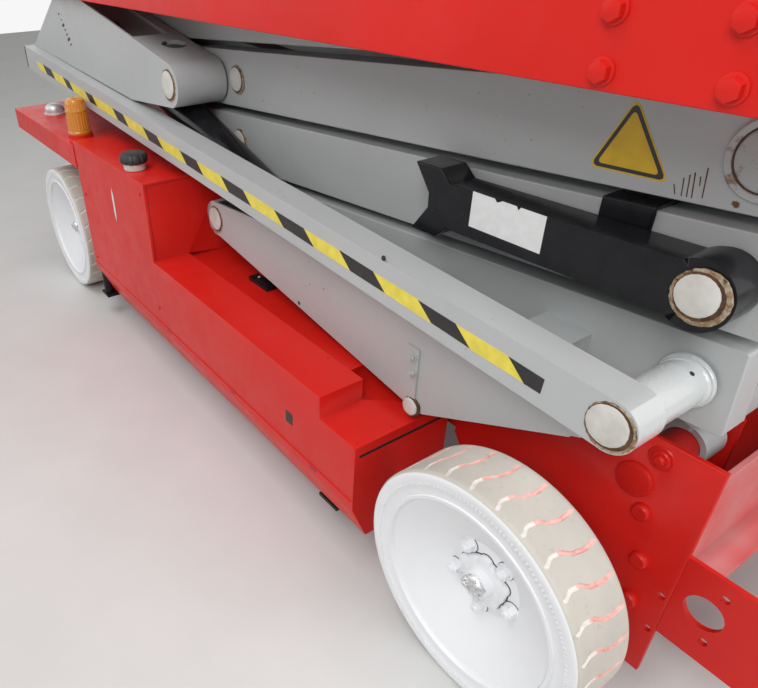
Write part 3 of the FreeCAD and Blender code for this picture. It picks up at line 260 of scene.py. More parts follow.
def tyre_rubber():
    material, tree, shader = new_material("tyre_rubber")
    tone = mottled(tree, (6.0, 6.0), colours().rubber, 0.88, 1.08)
    scuffs = band(tree, noise(tree, 45.0, 6.0, 0.7), 0.58, 0.74)
    tone = blend_colour(tree, product(tree, scuffs, 0.35), tone, (0.25, 0.225, 0.20, 1))
    complete(tree, shader, tone, 0.75, (320.0, 4.0), 0.0004, 0.5)
    return material


def rusty_steel():
    """Brown rust in dark and lighter patches; round the pin ends its dark also stands for painted shade in the
    gap.
    """
    material, tree, shader = new_material("rusty_steel")
    patches = band(tree, noise(tree, 60.0, 8.0, 0.7), 0.40, 0.66)
    tone = blend_colour(tree, patches, shaded(colours().rust, 0.40), shaded(colours().rust, 1.5))
    complete(tree, shader, tone, 0.85, (170.0, 6.0, 0.7), 0.0010, 0.7)
    return material


def rust_stain():
    """Thin rust that has run over the paint."""
    material, tree, shader = new_material("rust_stain")
    thick = band(tree, noise(tree, 85.0, 7.0, 0.7), 0.42, 0.58)
    tone = blend_colour(tree, thick, (0.40, 0.34, 0.25, 1), (0.21, 0.115, 0.045, 1))
    spots = band(tree, noise(tree, 40.0, 5.0, 0.6), 0.56, 0.66)
    tone = blend_colour(tree, spots, tone, shaded(colours().rust, 0.6))
    complete(tree, shader, tone, 0.8, (170.0, 6.0, 0.7), 0.0006, 0.6)
    return material


def pin_face():
    """Chalky cream paint on a pin's end, with rust specks."""
    material, tree, shader = new_material("pin_face")
    chalk = band(tree, noise(tree, 22.0, 6.0), 0.35, 0.7)
    cream = blend_colour(tree, chalk, (0.52, 0.50, 0.46, 1), (0.66, 0.65, 0.62, 1))
    specks = band(tree, noise(tree, 95.0, 6.0, 0.65), 0.66, 0.72)
    few = band(tree, noise(tree, 17.0, 3.0), 0.50, 0.60)
    tone = blend_colour(tree, product(tree, specks, few), cream, shaded(colours().rust, 1.6))
    complete(tree, shader, tone, 0.62, (110.0, 5.0), 0.0006, 0.6)
    return material


def streaked_grey():
    """Arm enamel that has rust bleeding through at a bare edge."""
    material = enamel("streaked_grey", colours().grey, 0.45, 0.0, 0.14, (0.16, 0.07, 0.03, 1), 0.10, 0.4)
    tree = material.node_tree
    base = tree.nodes["Principled BSDF"].inputs["Base Color"]
    bleed = band(tree, noise(tree, 26.0, 7.0, 0.7), 0.55, 0.66)
    tree.links.new(blend_colour(tree, bleed, base.links[0].from_socket, shaded(colours().rust, 2.0)), base)
    return material


def red_with_painted_reflection():
    """Dull red with pale pink patches drifting over it, a painted reflection of the floor, as inside the entry
    end.
    """
    material, tree, shader = new_material("oversprayed_red")
    # The pale pink patches are a painted reflection of the floor on the red.
    drift = band(tree, noise(tree, 3.2, 3.0, 0.5), 0.30, 0.62, 0.25, 0.95)
    tone = blend_colour(tree, drift, shaded(colours().red, 0.9), (0.56, 0.27, 0.27, 1))
    uneven = band(tree, noise(tree, 20.0, 5.0), 0.3, 0.7, 0.42, 0.62)
    complete(tree, shader, tone, uneven, (180.0, 3.0), 0.0003, 0.4)
    return material


def deck_metal():
    """Aluminium tread plate with crossed raised bars."""
    material, tree, shader = new_material("deck_metal")
    worn = band(tree, noise(tree, 7.0, 6.0), 0.3, 0.7)
    tone = blend_colour(tree, worn, (0.36, 0.36, 0.36, 1), (0.50, 0.50, 0.49, 1))
    uneven = band(tree, noise(tree, 18.0, 5.0), 0.3, 0.7, 0.34, 0.52)
    split = tree.nodes.new("ShaderNodeSeparateXYZ")
    tree.links.new(place_node(tree), split.inputs[0])
    along, across = split.outputs[0], split.outputs[1]
    bars = []
    for lean in (1.0, -1.0):
        leaning = reckon(tree, "MULTIPLY", across, lean)
        run = reckon(tree, "MULTIPLY", reckon(tree, "ADD", along, leaning), 90.0)
        over = reckon(tree, "MULTIPLY", reckon(tree, "SUBTRACT", along, leaning), 60.0 * lean)
        thin = reckon(tree, "ABSOLUTE", reckon(tree, "SINE", run))
        wide = reckon(tree, "SINE", over)
        bars.append(product(tree, band(tree, thin, 0.93, 0.99), band(tree, wide, 0.1, 0.5)))
    complete(tree, shader, tone, uneven, product(tree, *bars, "MAXIMUM"), 0.0016, 1.0, Metallic=0.75)
    return material


def amber_lens():
    material, tree, shader = new_material("amber_lens")
    tone = blend_colour(tree, noise(tree, 12.0), shaded(colours().amber, 0.8), colours().amber)
    tree.links.new(tone, shader.inputs["Base Color"])
    for name, value in (("Roughness", 0.18), ("Transmission Weight", 0.25), ("Coat Weight", 0.6)):
        shader.inputs[name].default_value = value
    return material


CHIPS = (0.13, 0.06, 0.03, 1)
# Name, colour, roughness, coat, dust, chips, wash and gloss.
ENAMELS = {
    "red": ("red_enamel", "red", 0.36, 0.0, 0.025, None, 0.09, 0.28),
    "grey": ("grey_enamel", "grey", 0.34, 0.0, 0.07, CHIPS, 0.06, 0.45),
    "white": ("wheel_paint", "white", 0.42, 0.0, 0.05, None, 0.04, 0.5),
}
# Name, colour, roughness, metallic, mottling, scale and bump.
PLAINS = {
    "silver": ("silver_paint", (0.60, 0.60, 0.61), 0.36, 0.5, 0.10, 60.0, 0.0004),
    "zinc": ("zinc_steel", "steel", 0.38, 0.85, 0.15, 60.0),
    "bright": ("bright_steel", (0.66, 0.66, 0.67), 0.27, 0.9, 0.25, 110.0, 0.0012),
    "chrome": ("hard_chrome", (0.62, 0.62, 0.63), 0.12, 1.0, 0.03, 40.0, 0.00005),
    "dark": ("dark_plastic", (0.018, 0.018, 0.019), 0.5, 0.0, 0.2, 80.0),
    "pale": ("pale_plastic", (0.60, 0.61, 0.60), 0.4, 0.0, 0.06, 30.0),
    "yellow": ("tape_yellow", "yellow", 0.42, 0.0, 0.10, 40.0),
    "sign": ("sign_yellow", "sign", 0.36, 0.0, 0.10, 30.0),
    "tape": ("tape_black", (0.014, 0.014, 0.014), 0.42, 0.0, 0.25, 40.0),
    "label": ("label_white", (0.72, 0.72, 0.72), 0.45, 0.0, 0.06, 50.0),
    # The grooves' white and pink: paint in them, with the highlight of their lit walls painted in.
    "pink": ("pink_groove", "overspray", 0.8, 0.0, 0.25, 60.0),
    "groove": ("groove_white", (0.76, 0.72, 0.68), 0.8, 0.0, 0.12, 60.0),
}
SPECIALS = {
    "black": black_enamel, "rubber": tyre_rubber, "rust": rusty_steel, "stain": rust_stain, "pin": pin_face,
    "worn": streaked_grey, "spray": red_with_painted_reflection, "deck": deck_metal, "amber": amber_lens,
    # The foot tube's grey, lightened by 1.3 as a painted highlight.
    "sleeve": lambda: enamel("sleeve_enamel", shaded(colours().grey, 1.30), 0.24, 0.4, 0.03, CHIPS, 0.04, 0.6),
}
made_materials = {}


def finish_of(key):
    if key not in made_materials:
        for table, maker in ((ENAMELS, enamel), (PLAINS, plain)):
            if key in table:
                name, colour, *rest = table[key]
                if isinstance(colour, str):
                    colour = getattr(colours(), colour)
                made_materials[key] = maker(name, colour, *rest)
        if key in SPECIALS:
            made_materials[key] = SPECIALS[key]()
    return made_materials[key]


# Shape helpers; each adds to a bmesh in the machine's own frame, in metres.
def turned_to(axis):
    return Z_AXIS.rotation_difference(Vector(axis)).to_matrix().to_4x4()


def spoke(angle, reach, upright=False):
    """A vector at an angle in the floor's plane or, for a wheel, in the upright plane."""
    aside, along = reach * math.cos(angle), reach * math.sin(angle)
    return Vector((aside, 0, along)) if upright else Vector((aside, along, 0))


def middle(low, high):
    return (Vector(low) + Vector(high)) / 2


def faces_of(points):
    """The faces that meet at some points, each once and in a steady order."""
    return list(dict.fromkeys(face for point in points for face in point.link_faces))


def round_edges(mesh, edges, width, segments=2, **more):
    bmesh.ops.bevel(mesh, geom=list(dict.fromkeys(edges)), offset=width, segments=segments, affect="EDGES",
                    profile=0.5, material=-1, **more)


def add_block(mesh, low, high, bevel=0.0, turn=None, finish=0):
    """A block between two corners, with softened edges; turn is a matrix about its middle."""
    spread = Vector(high) - Vector(low)
    placed = Matrix.Translation(middle(low, high)) @ (turn or Matrix()) @ Matrix.Diagonal((*spread, 1))
    corners = bmesh.ops.create_cube(mesh, size=1, matrix=placed)["verts"]
    for face in faces_of(corners):
        face.material_index = finish
    if bevel:
        round_edges(mesh, (edge for corner in corners for edge in corner.link_edges), bevel)


def add_bar(mesh, start, end, radius, segments=24, tip=None, bevel=0.0, finish=0):
    """A round bar between two points; tip is the radius at its end."""
    run = Vector(end) - Vector(start)
    placed = Matrix.Translation(middle(start, end)) @ turned_to(run.normalized())
    made = bmesh.ops.create_cone(mesh, cap_ends=True, segments=segments, radius1=radius,
                                 radius2=radius if tip is None else tip, depth=run.length, matrix=placed)
    faces = faces_of(made["verts"])
    for face in faces:
        face.material_index = finish
        face.smooth = len(face.verts) == 4
    if bevel:
        round_edges(mesh, (edge for face in faces if len(face.verts) > 4 for edge in face.edges), bevel)


def add_bolt(mesh, place, axis, radius, height, finish=0):
    """A hexagon head on a washer, seated at place."""
    place, rise = Vector(place), Vector(axis) * height
    add_bar(mesh, place, place + rise * 0.22, radius * 1.45, 20, finish=finish)
    add_bar(mesh, place + rise * 0.2, place + rise, radius, 6, bevel=radius * 0.12, finish=finish)
    add_bar(mesh, place + rise * 0.9, place + rise * 1.5, radius * 0.5, 10, finish=finish)


def add_spun(mesh, profile, centre, axis, steps=64, finish=0):
    """A ring turned about an axis; profile is (radius, distance along the axis)."""
    before = set(mesh.verts)
    corners = [mesh.verts.new((radius, 0, along)) for radius, along in profile]
    edges = [mesh.edges.new(pair) for pair in zip(corners, corners[1:])]
    if profile[0][0] > 0 and profile[-1][0] > 0:
        edges.append(mesh.edges.new((corners[-1], corners[0])))
    bmesh.ops.spin(mesh, geom=corners + edges, cent=(0, 0, 0), axis=Z_AXIS, angle=TURN, steps=steps,
                   use_merge=True)
    points = [point for point in mesh.verts if point not in before]
    bmesh.ops.remove_doubles(mesh, verts=points, dist=1e-6)
    points = [point for point in points if point.is_valid]
    for face in faces_of(points):
        face.material_index = finish
        face.smooth = True
    bmesh.ops.transform(mesh, matrix=Matrix.Translation(Vector(centre)) @ turned_to(axis), verts=points)
    return points


def add_plate(mesh, outline, low_y, high_y, finish=0):
    """A flat plate with an outline of (x, z) between two distances along Y."""
    corners = [mesh.verts.new((x, low_y, z)) for x, z in outline]
    grown = bmesh.ops.extrude_face_region(mesh, geom=[mesh.faces.new(corners)])
    moved = [item for item in grown["geom"] if isinstance(item, bmesh.types.BMVert)]
    bmesh.ops.translate(mesh, verts=moved, vec=(0, high_y - low_y, 0))
    for face in faces_of(corners + moved):
        face.material_index = finish


def add_dome(mesh, place, axis, radius, height, finish=0, steps=24):
    """A round head that is flat on top with a rolled rim."""
    profile = [(radius, 0.0), (radius, height * 0.45), (radius * 0.92, height * 0.8), (radius * 0.75, height),
               (0.0, height)]
    add_spun(mesh, profile, place, axis, steps, finish)


def add_ribs(mesh, count, foot, low, high, radius, segments):
    """Ribs round a cap; low and high are the (distance out, height) of a rib's ends."""
    for index in range(count):
        ends = [foot + spoke(TURN * index / count, reach) + Z_AXIS * rise for reach, rise in (low, high)]
        add_bar(mesh, *ends, radius, segments)


def add_blob(mesh, centre, axis, radius, height, wobble, seed, finish=0, lip=0.0025):
    """A round patch with a rolled, uneven rim."""
    uneven = random.Random(seed)
    waves = [(count, uneven.uniform(0.3, 1.0) * wobble, uneven.uniform(0, 6.28)) for count in (2, 3, 7, 17, 23)]
    profile = [(radius, -0.003), (radius, height - lip), (radius - lip * 0.35, height - lip * 0.3),
               (radius - lip, height), (radius * 0.5, height + 0.0004), (0.0, height + 0.0006)]
    points = add_spun(mesh, profile, (0, 0, 0), Z_AXIS, 96, finish)
    for point in points:
        angle, flat = math.atan2(point.co.y, point.co.x), math.hypot(point.co.x, point.co.y)
        if flat > radius * 0.6:
            grown = (flat + sum(size * math.sin(count * angle + phase) for count, size, phase in waves)) / flat
            point.co.x *= grown
            point.co.y *= grown
    bmesh.ops.transform(mesh, matrix=Matrix.Translation(Vector(centre)) @ turned_to(axis), verts=points)


def piece(name, mesh, body, keys, replaced=(), smooth_angle=35):
    """Makes a piece of a bmesh, with its finishes, on its body."""
    bmesh.ops.recalc_face_normals(mesh, faces=mesh.faces[:])
    data = bpy.data.meshes.new(name)
    mesh.to_mesh(data)
    mesh.free()
    made = bpy.data.objects.new(name, data)
    bpy.context.scene.collection.objects.link(made)
    for key in keys:
        data.materials.append(finish_of(key))
    data.set_sharp_from_angle(angle=math.radians(smooth_angle))
    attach(made, body)
    if replaced:
        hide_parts(*replaced)
    return made


def softened(node, body, key, width, shortest=0.014, change=None, flat=False):
    """Stands for a CAD node with its long sharp corners rounded."""
    mesh = bmesh.new()
    mesh.from_mesh(frame["nodes"][node].data)
    bmesh.ops.remove_doubles(mesh, verts=mesh.verts[:], dist=2e-5)
    if change:
        change(mesh)
    bmesh.ops.dissolve_limit(mesh, angle_limit=0.01, verts=mesh.verts[:], edges=mesh.edges[:])
    corners = [edge for edge in mesh.edges if len(edge.link_faces) == 2 and edge.calc_length() > shortest
               and edge.is_convex and edge.calc_face_angle(0) > 0.6]
    round_edges(mesh, corners, width, clamp_overlap=True)
    bmesh.ops.triangulate(mesh, faces=[face for face in mesh.faces if len(face.verts) > 4])
    for face in mesh.faces:
        face.smooth = not flat
    made = piece(node + "_shape", mesh, body, (key,), (node,), 40)
    if not flat:
        made.modifiers.new("even", "WEIGHTED_NORMAL").keep_sharp = True


def flush_pins(mesh):
    """The lowest pins' ends lie flush with the side plates."""
    for point in mesh.verts:
        point.co.y = max(-SIDE_FACE, min(SIDE_FACE, point.co.y))


def smooth_between(value, marks):
    """Reads a soft curve through (place, height) marks."""
    if value <= marks[0][0]:
        return marks[0][1]
    for (low, first), (high, last) in zip(marks, marks[1:]):
        if value <= high:
            share = (value - low) / (high - low)
            return first + (last - first) * share * share * (3 - 2 * share)
    return marks[-1][1]


# Pieces.
class LIFT_OT_frame_finishes(bpy.types.Operator):
    """Gives every CAD piece its paint or metal; the tray posts are black as painted shade."""
    bl_idname = "lift.frame_finishes"
    bl_label = "Frame finishes"

    def execute(self, context):
        arms = " ".join(name for name in frame["nodes"] if name.startswith("arm_"))
        for key, names in (
                ("red", "chassis_frame side_plates end_plate entry_step steer_bumper fenders tray_left tray_right "
                        "platform_floor guard_rails slide_rails entry_gate"),
                ("grey", arms + " striped_arms upper_leaves lower_leaves"),
                # The tray posts are black, painted shade that reads as the shadow under the trays.
                ("black", "lift_barrels tray_posts maintenance_lock steer_axle fixed_axle knuckle_left "
                          "knuckle_right battery_left battery_right lock_pins"),
                ("chrome", "lift_rods"), ("zinc", "lower_rollers upper_rollers"), ("deck", "slide_deck"),
                ("pale", "filler_cap"), ("dark", "beacon_base tank_cap control_box"), ("amber", "beacon_lens")):
            for name in names.split():
                data = frame["nodes"][name].data
                data.materials.clear()
                data.materials.append(finish_of(key))
        return {"FINISHED"}


class LIFT_OT_soft_edges(bpy.types.Operator):
    """Rounds the long corners of the arms and the folded sheet."""
    bl_idname = "lift.soft_edges"
    bl_label = "Soft edges"

    def execute(self, context):
        arm, sheet = sizes().arm_edge, sizes().sheet_edge
        for level in range(1, 5):
            for part in ("inner", "outer"):
                body = "arm_%d_%s" % (level, part)
                softened(body, body, "grey", arm)
        softened("striped_arms", "arm_2_inner", "grey", arm)
        for node, body, key, share, *more in (
                ("upper_leaves", "arm_2_inner", "grey", 0.5), ("lower_leaves", "arm_1_outer", "grey", 0.5),
                ("tray_left", "tray_left", "red", 0.6), ("tray_right", "tray_right", "red", 0.6),
                ("fenders", "chassis", "red", 1.0), ("steer_bumper", "chassis", "red", 1.0),
                # The end plate takes the red with a painted reflection of the floor.
                ("maintenance_lock", "arm_2_outer", "black", 0.8), ("end_plate", "chassis", "spray", 0.4),
                ("entry_step", "chassis", "red", 0.4),
                ("side_plates", "chassis", "red", 0.3, 0.03, flush_pins, True),
                ("platform_floor", "platform", "red", 1.0), ("lock_pins", "arm_2_outer", "black", 2.0, 0.03),
                ("slide_deck", "sliding_deck", "deck", 0.4)):
            softened(node, body, key, sheet * share, *more)
        return {"FINISHED"}


class LIFT_OT_tyres(bpy.types.Operator):
    """Solid tyres with wave grooves across the tread and a painted outer wall."""
    bl_idname = "lift.tyres"
    bl_label = "Tyres"

    grooves = 28
    columns = 16
    run = 0.126
    shoulder = 0.012
    knurls, knurl_ring = 160, 0.2525
    # Along a groove, as (share of its run, degrees round the tyre).
    wave = ((0.0, 0.0), (0.17, 1.75), (0.34, 1.25), (0.56, -1.6), (0.75, -2.4), (1.0, -2.0))

    def execute(self, context):
        for corner, outward in WHEELS:
            self.tyre(corner, outward)
        return {"FINISHED"}

    def tyre(self, corner, outward):
        low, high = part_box("tyre_" + corner)
        radius, width, half = (high[0] - low[0]) / 2, high[1] - low[1], (high[1] - low[1]) / 2
        seat, shoulder, cross = radius - TYRE_WALL, self.shoulder, 26
        quarter = [math.pi / 2 * step / 5 for step in range(6)]
        arc = [(radius - shoulder + shoulder * math.sin(angle), half - shoulder + shoulder * math.cos(angle))
               for angle in quarter]
        profile = [(seat, -half + 0.004), (seat + 0.020, -half + 0.001)]
        profile += [(flat, -along) for flat, along in arc]
        profile += [(radius, -half + shoulder + (width - 2 * shoulder) * step / cross) for step in range(1, cross)]
        profile += reversed(arc)
        profile += [(seat + 0.026, half - 0.0005), (seat + 0.023, half - 0.003), (seat, half - 0.004)]
        mesh = bmesh.new()
        points = add_spun(mesh, profile, (0, 0, 0), Z_AXIS, self.grooves * self.columns)
        pitch = TURN / self.grooves
        edge, floor = sizes().groove_width * 0.55 / radius, sizes().groove_width * 0.33 / radius
        sunk = {}
        for point in points:
            angle, flat = math.atan2(point.co.y, point.co.x), math.hypot(point.co.x, point.co.y)
            groove, column = divmod(round((angle % TURN) / (pitch / self.columns)), self.columns)
            share = (half - shoulder - point.co.z) / self.run
            if column < 4:
                slot = (-edge, -floor, floor, edge)[column]
            else:
                slot = edge + (pitch - 2 * edge) * (column - 3) / (self.columns - 3)
            turned = groove * pitch + slot + math.radians(5.4 + smooth_between(share, self.wave))
            if column in (1, 2) and -0.02 <= share <= 1.0 and flat > radius - 0.001:
                flat -= sizes().groove_depth * min(1.0, (share + 0.06) * 5, (1.04 - share) * 6)
                sunk[point] = share
            point.co.x, point.co.y = flat * math.cos(turned), flat * math.sin(turned)
        # Groove faces are white near the painted wall and pink further in: paint in the grooves, with the
        # highlight of their lit walls painted in; the outer wall is painted white.
        for face in mesh.faces:
            deep = [sunk[point] for point in face.verts if point in sunk]
            spot = face.calc_center_median()
            if len(deep) >= 2:
                face.material_index = 2 if sum(deep) / len(deep) < 0.32 else 1
            elif spot.z > half - 0.006 and math.hypot(spot.x, spot.y) < radius - 0.004:
                face.material_index = 3
        turn = Matrix.Translation(middle(low, high)) @ turned_to((0, outward, 0))
        bmesh.ops.transform(mesh, matrix=turn, verts=mesh.verts[:])
        piece("tread_" + corner, mesh, "wheel_" + corner, ("rubber", "pink", "groove", "white"),
              ("tyre_" + corner,), 50)
        mesh = bmesh.new()
        for index in range(self.knurls):
            angle = TURN * index / self.knurls
            spot = spoke(angle, self.knurl_ring) + Z_AXIS * (half - 0.0002)
            add_block(mesh, spot - Vector((0.0035, 0.0028, 0.002)), spot + Vector((0.0035, 0.0028, 0.0)),
                      turn=Matrix.Rotation(angle, 4, "Z"))
        bmesh.ops.transform(mesh, matrix=turn, verts=mesh.verts[:])
        piece("knurl_" + corner, mesh, "wheel_" + corner, ("white",))


class LIFT_OT_wheels(bpy.types.Operator):
    """Deep dished wheels with a rolled lip, nuts and a rough hub cap."""
    bl_idname = "lift.wheels"
    bl_label = "Wheels"

    nuts, first_nut, nut_ring, lobe_ring = 5, 57, 0.080, 0.050
    # Profiles of the dish and of its back, in from the rim, and of the drum, hub and hub's groove.
    dish = ((0.0, -0.004), (0.0019, -0.001), (0.0094, -0.002), (0.0134, -0.010), (0.0154, -0.036),
            (0.0184, -0.075), (0.0210, -0.084), (0.0294, -0.090), (0.0504, -0.092), (0.0754, -0.088),
            (0.1004, -0.082), (0.1074, -0.078))
    back = ((0.050, -0.101), (0.024, -0.099), (0.013, -0.090), (0.010, -0.060), (0.007, -0.020))
    drum = ((0.0, -0.124), (0.056, -0.124), (0.060, -0.120), (0.060, -0.094), (0.0, -0.094))
    hub = ((0.0, -0.046), (0.026, -0.046), (0.031, -0.049), (0.036, -0.064), (0.055, -0.0660), (0.0585, -0.069),
           (0.0595, -0.080), (0.0, -0.080))
    # The hub's groove is a black ring, painted shade in the crease.
    groove = ((0.0590, -0.0790), (0.0590, -0.0772), (0.0620, -0.0772), (0.0620, -0.0790), (0.0590, -0.0790))
    cap = ((0.0, -0.0335), (0.014, -0.0340), (0.022, -0.0375), (0.026, -0.044), (0.0275, -0.052), (0.0, -0.052))
    # Each bar of a nut and of the lobe between two nuts: start, end, radius, sides, tip, bevel and finish.
    # The first, black bar of a nut and of a lobe is a thin dark ring round its foot, painted shade where it meets
    # the dish.
    nut = ((0.0, 0.0022, 0.0202, 28, None, 0.0, 2), (0.0, 0.005, 0.0190, 28, None, 0.0012, 0),
           (0.003, 0.021, 0.0158, 6, 0.0148, 0.0030, 0), (0.019, 0.0265, 0.0095, 20, 0.0080, 0.0015, 0))
    lobe = ((0.0, 0.0032, 0.0192, 32, None, 0.0, 2), (0.0, 0.0150, 0.0175, 32, None, 0.002, 0))

    def execute(self, context):
        for corner, outward in WHEELS:
            self.wheel(corner, outward)
        return {"FINISHED"}

    def wheel(self, corner, outward):
        low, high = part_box("tyre_" + corner)
        centre = middle(low, high)
        centre.y = outward * max(abs(low[1]), abs(high[1]))
        rim, width = (high[0] - low[0]) / 2 - TYRE_WALL, high[1] - low[1]
        out = Vector((0, outward, 0))
        mesh = bmesh.new()
        shell = [(rim - step, along) for step, along in self.dish] + [(0.0, -0.078)]
        back = [(0.060, -0.094), (0.110, -0.098)] + [(rim - step, along) for step, along in self.back]
        back += [(rim - 0.007, -width + 0.008), (rim, -width + 0.004), (rim, -0.004)]
        # The groove ring takes finish 2, black, as painted shade.
        for profile, steps, finish in ((shell, 128, 0), (back, 128, 0), (self.drum, 48, 0), (self.hub, 64, 0),
                                       (self.groove, 64, 2)):
            add_spun(mesh, profile, centre, out, steps, finish)
        for index in range(self.nuts):
            for bars, ring, shift, sink in ((self.nut, self.nut_ring, 0, 0.079),
                                            (self.lobe, self.lobe_ring, 36, 0.080)):
                angle = math.radians(self.first_nut + shift + 360 / self.nuts * index)
                spot = centre + spoke(angle, ring, True) - out * sink
                for start, end, radius, sides, tip, bevel, finish in bars:
                    add_bar(mesh, spot + out * start, spot + out * end, radius, sides, tip, bevel, finish)
        rough = random.Random(7)
        add_spun(mesh, self.cap, centre, out, 40, 1)
        for index in range(26):
            angle = rough.uniform(0, TURN)
            spot = centre + spoke(angle, 0.024 * math.sqrt(rough.uniform(0.0, 1.0)), True) - out * 0.047
            add_bar(mesh, spot, spot + out * rough.uniform(0.008, 0.0165), rough.uniform(0.004, 0.008),
                    6, tip=rough.uniform(0.002, 0.005), finish=1)
        for angle in (-2.10, -1.88):
            aside = spoke(angle, 1.0, True)
            spot = centre - out * 0.045 + aside * (rim - 0.0135)
            add_bar(mesh, spot, spot - aside * 0.022, 0.020, 32, tip=0.0175, bevel=0.003)
        piece("rim_" + corner, mesh, "wheel_" + corner, ("white", "bright", "tape"), ("wheel_" + corner,), 40)


class LIFT_OT_stripes(bpy.types.Operator):
    """Black and yellow tape along the outer arms."""
    bl_idname = "lift.stripes"
    bl_label = "Stripes"

    # Where each strip ends, in mm from the near pin; the first is black.
    ends = (128, 186, 316, 422, 564, 686, 828, 962, 1120, 1245, 1395, 1507, 1677, 1790, 1962, 2062, 2270, 2350,
            2540, 2616, 2774, 2892, 2990)
    slant, ragged, below = 0.675, 0.0012, 0.0045

    def execute(self, context):
        height = sizes().stripe_height
        near, far = Vector((NEAR_X, level_z(1))), Vector((FAR_X, level_z(2)))
        along = (far - near).normalized()
        up = Vector((along.y, -along.x))
        if up.y < 0:
            up = -up
        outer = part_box("striped_arms")[1][1]
        chance = random.Random(3)
        for side, outward in SIDES:
            mesh = bmesh.new()
            for index, (start, end) in enumerate(zip(self.ends, self.ends[1:])):
                outline = []
                for run, off in ((start, 1), (end, 1), (end, -1), (start, -1)):
                    slide = 0.0 if run == self.ends[0] else height * self.slant * off
                    lift = off * height / 2 - self.below + chance.uniform(-self.ragged, self.ragged)
                    outline.append(near + along * (run * MM + slide) + up * lift)
                add_plate(mesh, outline, outward * outer, outward * (outer + sizes().tape), index % 2)
            piece("stripe_tape_" + side, mesh, "arm_2_inner", ("tape", "yellow"))
        return {"FINISHED"}


class LIFT_OT_pin_ends(bpy.types.Operator):
    """Painted pin ends on the arms, rimmed with rust and painted gap shade, and the striped arm's foot tube with
    its painted highlight.
    """
    bl_idname = "lift.pin_ends"
    bl_label = "Pin ends"

    # Body, name, X, Z, distance out, radius of the painted end and width of the rust.
    spots = (
        ("arm_2_inner", "striped_foot", NEAR_X, level_z(1), STRIPED_OUT, 0.040, 0.0055),
        ("arm_2_inner", "centre_two", MIDDLE_X, level_z(1.5), PIN_FACE, 0.037, 0.0045),
        ("arm_3_inner", "centre_three", MIDDLE_X, level_z(2.5), PIN_FACE, 0.037, 0.0045),
        ("arm_4_inner", "centre_four", MIDDLE_X, level_z(3.5), PIN_FACE, 0.037, 0.0045),
        ("arm_4_outer", "far_three", FAR_X, level_z(3), PIN_FACE, 0.040, 0.006),
        ("arm_2_outer", "far_one", FAR_X, level_z(1), PIN_FACE, 0.040, 0.006),
        ("arm_2_outer", "lock_pivot", NEAR_X + 0.007, level_z(2) + 0.004, 0.505, 0.037, 0.0085),
        ("arm_1_outer", "lower_nose", 0.008, 0.650, LEAF_FACE, 0.040, 0.0055),
        ("arm_2_inner", "upper_nose", -0.180, 1.045, 0.594, 0.044, 0.006),
    )
    # The rust ring is shifted toward +X and down, so it shows as a dark crescent there: rust, with the shade of
    # the gap round the recessed pin painted in.
    # Stain, rust and paint: shift along X and Z, share of radius and rust, height, wobble, seed, finish and lip.
    layers = ((0.0030, -0.0022, 1.0, 1.1, 0.0006, 0.0007, 1, 2, 0.0005),
              (0.0010, -0.0012, 1.0, 0.35, 0.0014, 0.0003, 3, 0, 0.0008),
              (-0.0014, -0.0004, 0.955, 0.0, 0.0036, 0.00022, 2, 1, 0.0025))
    # The boss at the striped arm's foot, as outer and inner radius.
    boss = (0.0508, 0.047)
    # The arm's turned end on the highest pin that shows.
    plug = ((0.0, 0.004), (0.044, 0.004), (0.047, 0.002), (0.049, -0.001), (0.0, -0.001))
    collar = ((0.050, -0.006), (0.0515, 0.002), (0.054, 0.0035), (0.061, 0.0035), (0.0635, 0.001),
              (0.064, -0.006), (0.050, -0.006))
    seam = ((0.0485, -0.001), (0.0485, 0.0008), (0.0505, 0.0008), (0.0505, -0.001), (0.0485, -0.001))

    def execute(self, context):
        for count, (body, name, x, z, face, disc, rust) in enumerate(self.spots):
            mesh = bmesh.new()
            for side, outward in SIDES:
                for aside, rise, share, spread, height, wobble, seed, finish, lip in self.layers:
                    # Each rust ring shows a dark crescent of rust and painted gap shade.
                    add_blob(mesh, (x + aside, outward * face, z + rise), (0, outward, 0),
                             disc * share + rust * spread, height, wobble, count * 5 + seed, finish, lip)
            piece("pin_end_" + name, mesh, body, ("rust", "pin", "stain"))
        mesh = bmesh.new()
        foot, out = Vector((NEAR_X, 0, level_z(1))), Vector((0.45, 0, 0.89)).normalized()
        rim = [math.radians(-100 + 8.5 * step) for step in range(20)]
        arc = [foot + spoke(angle, self.boss[0], True) for angle in rim]
        arc += [foot + spoke(angle, self.boss[1], True) for angle in reversed(rim)]
        for side, outward in SIDES:
            # The foot tube with its weld collars and boss, lightened as a painted highlight, and a grease hole of
            # painted shade.
            axis = Vector((0, outward, 0))
            add_spun(mesh, [(0.040, PIN_FACE), (0.0446, PIN_FACE), (0.0446, STRIPED_IN), (0.040, STRIPED_IN),
                            (0.040, PIN_FACE)], foot, axis, 96)
            for place, wide in ((0.4170, 0.0520), (0.4260, 0.0480)):
                add_spun(mesh, [(0.042, 0.0), (wide, 0.0), (wide, 0.003), (wide - 0.002, 0.007), (0.042, 0.009),
                                (0.042, 0.0)], foot + axis * place, axis, 64)
            add_plate(mesh, [(point.x, point.z) for point in arc], outward * (STRIPED_IN + 0.0005),
                      outward * (STRIPED_OUT - 0.0004))
            # The grease hole is a dark disc, painted shade inside the hole.
            spot = foot + axis * 0.455 + out * 0.0445
            add_bar(mesh, spot, spot + out * 0.0008, 0.0045, 16, finish=1)
        piece("foot_collars", mesh, "arm_2_inner", ("sleeve", "dark"))
        mesh = bmesh.new()
        for side, outward in SIDES:
            for profile, finish in ((self.plug, 0), (self.collar, 0), (self.seam, 1)):
                add_spun(mesh, profile, (NEAR_X, outward * PIN_FACE, level_z(3)), (0, outward, 0), 64, finish)
        piece("pin_end_near_three", mesh, "arm_3_outer", ("worn", "rust"))
        return {"FINISHED"}


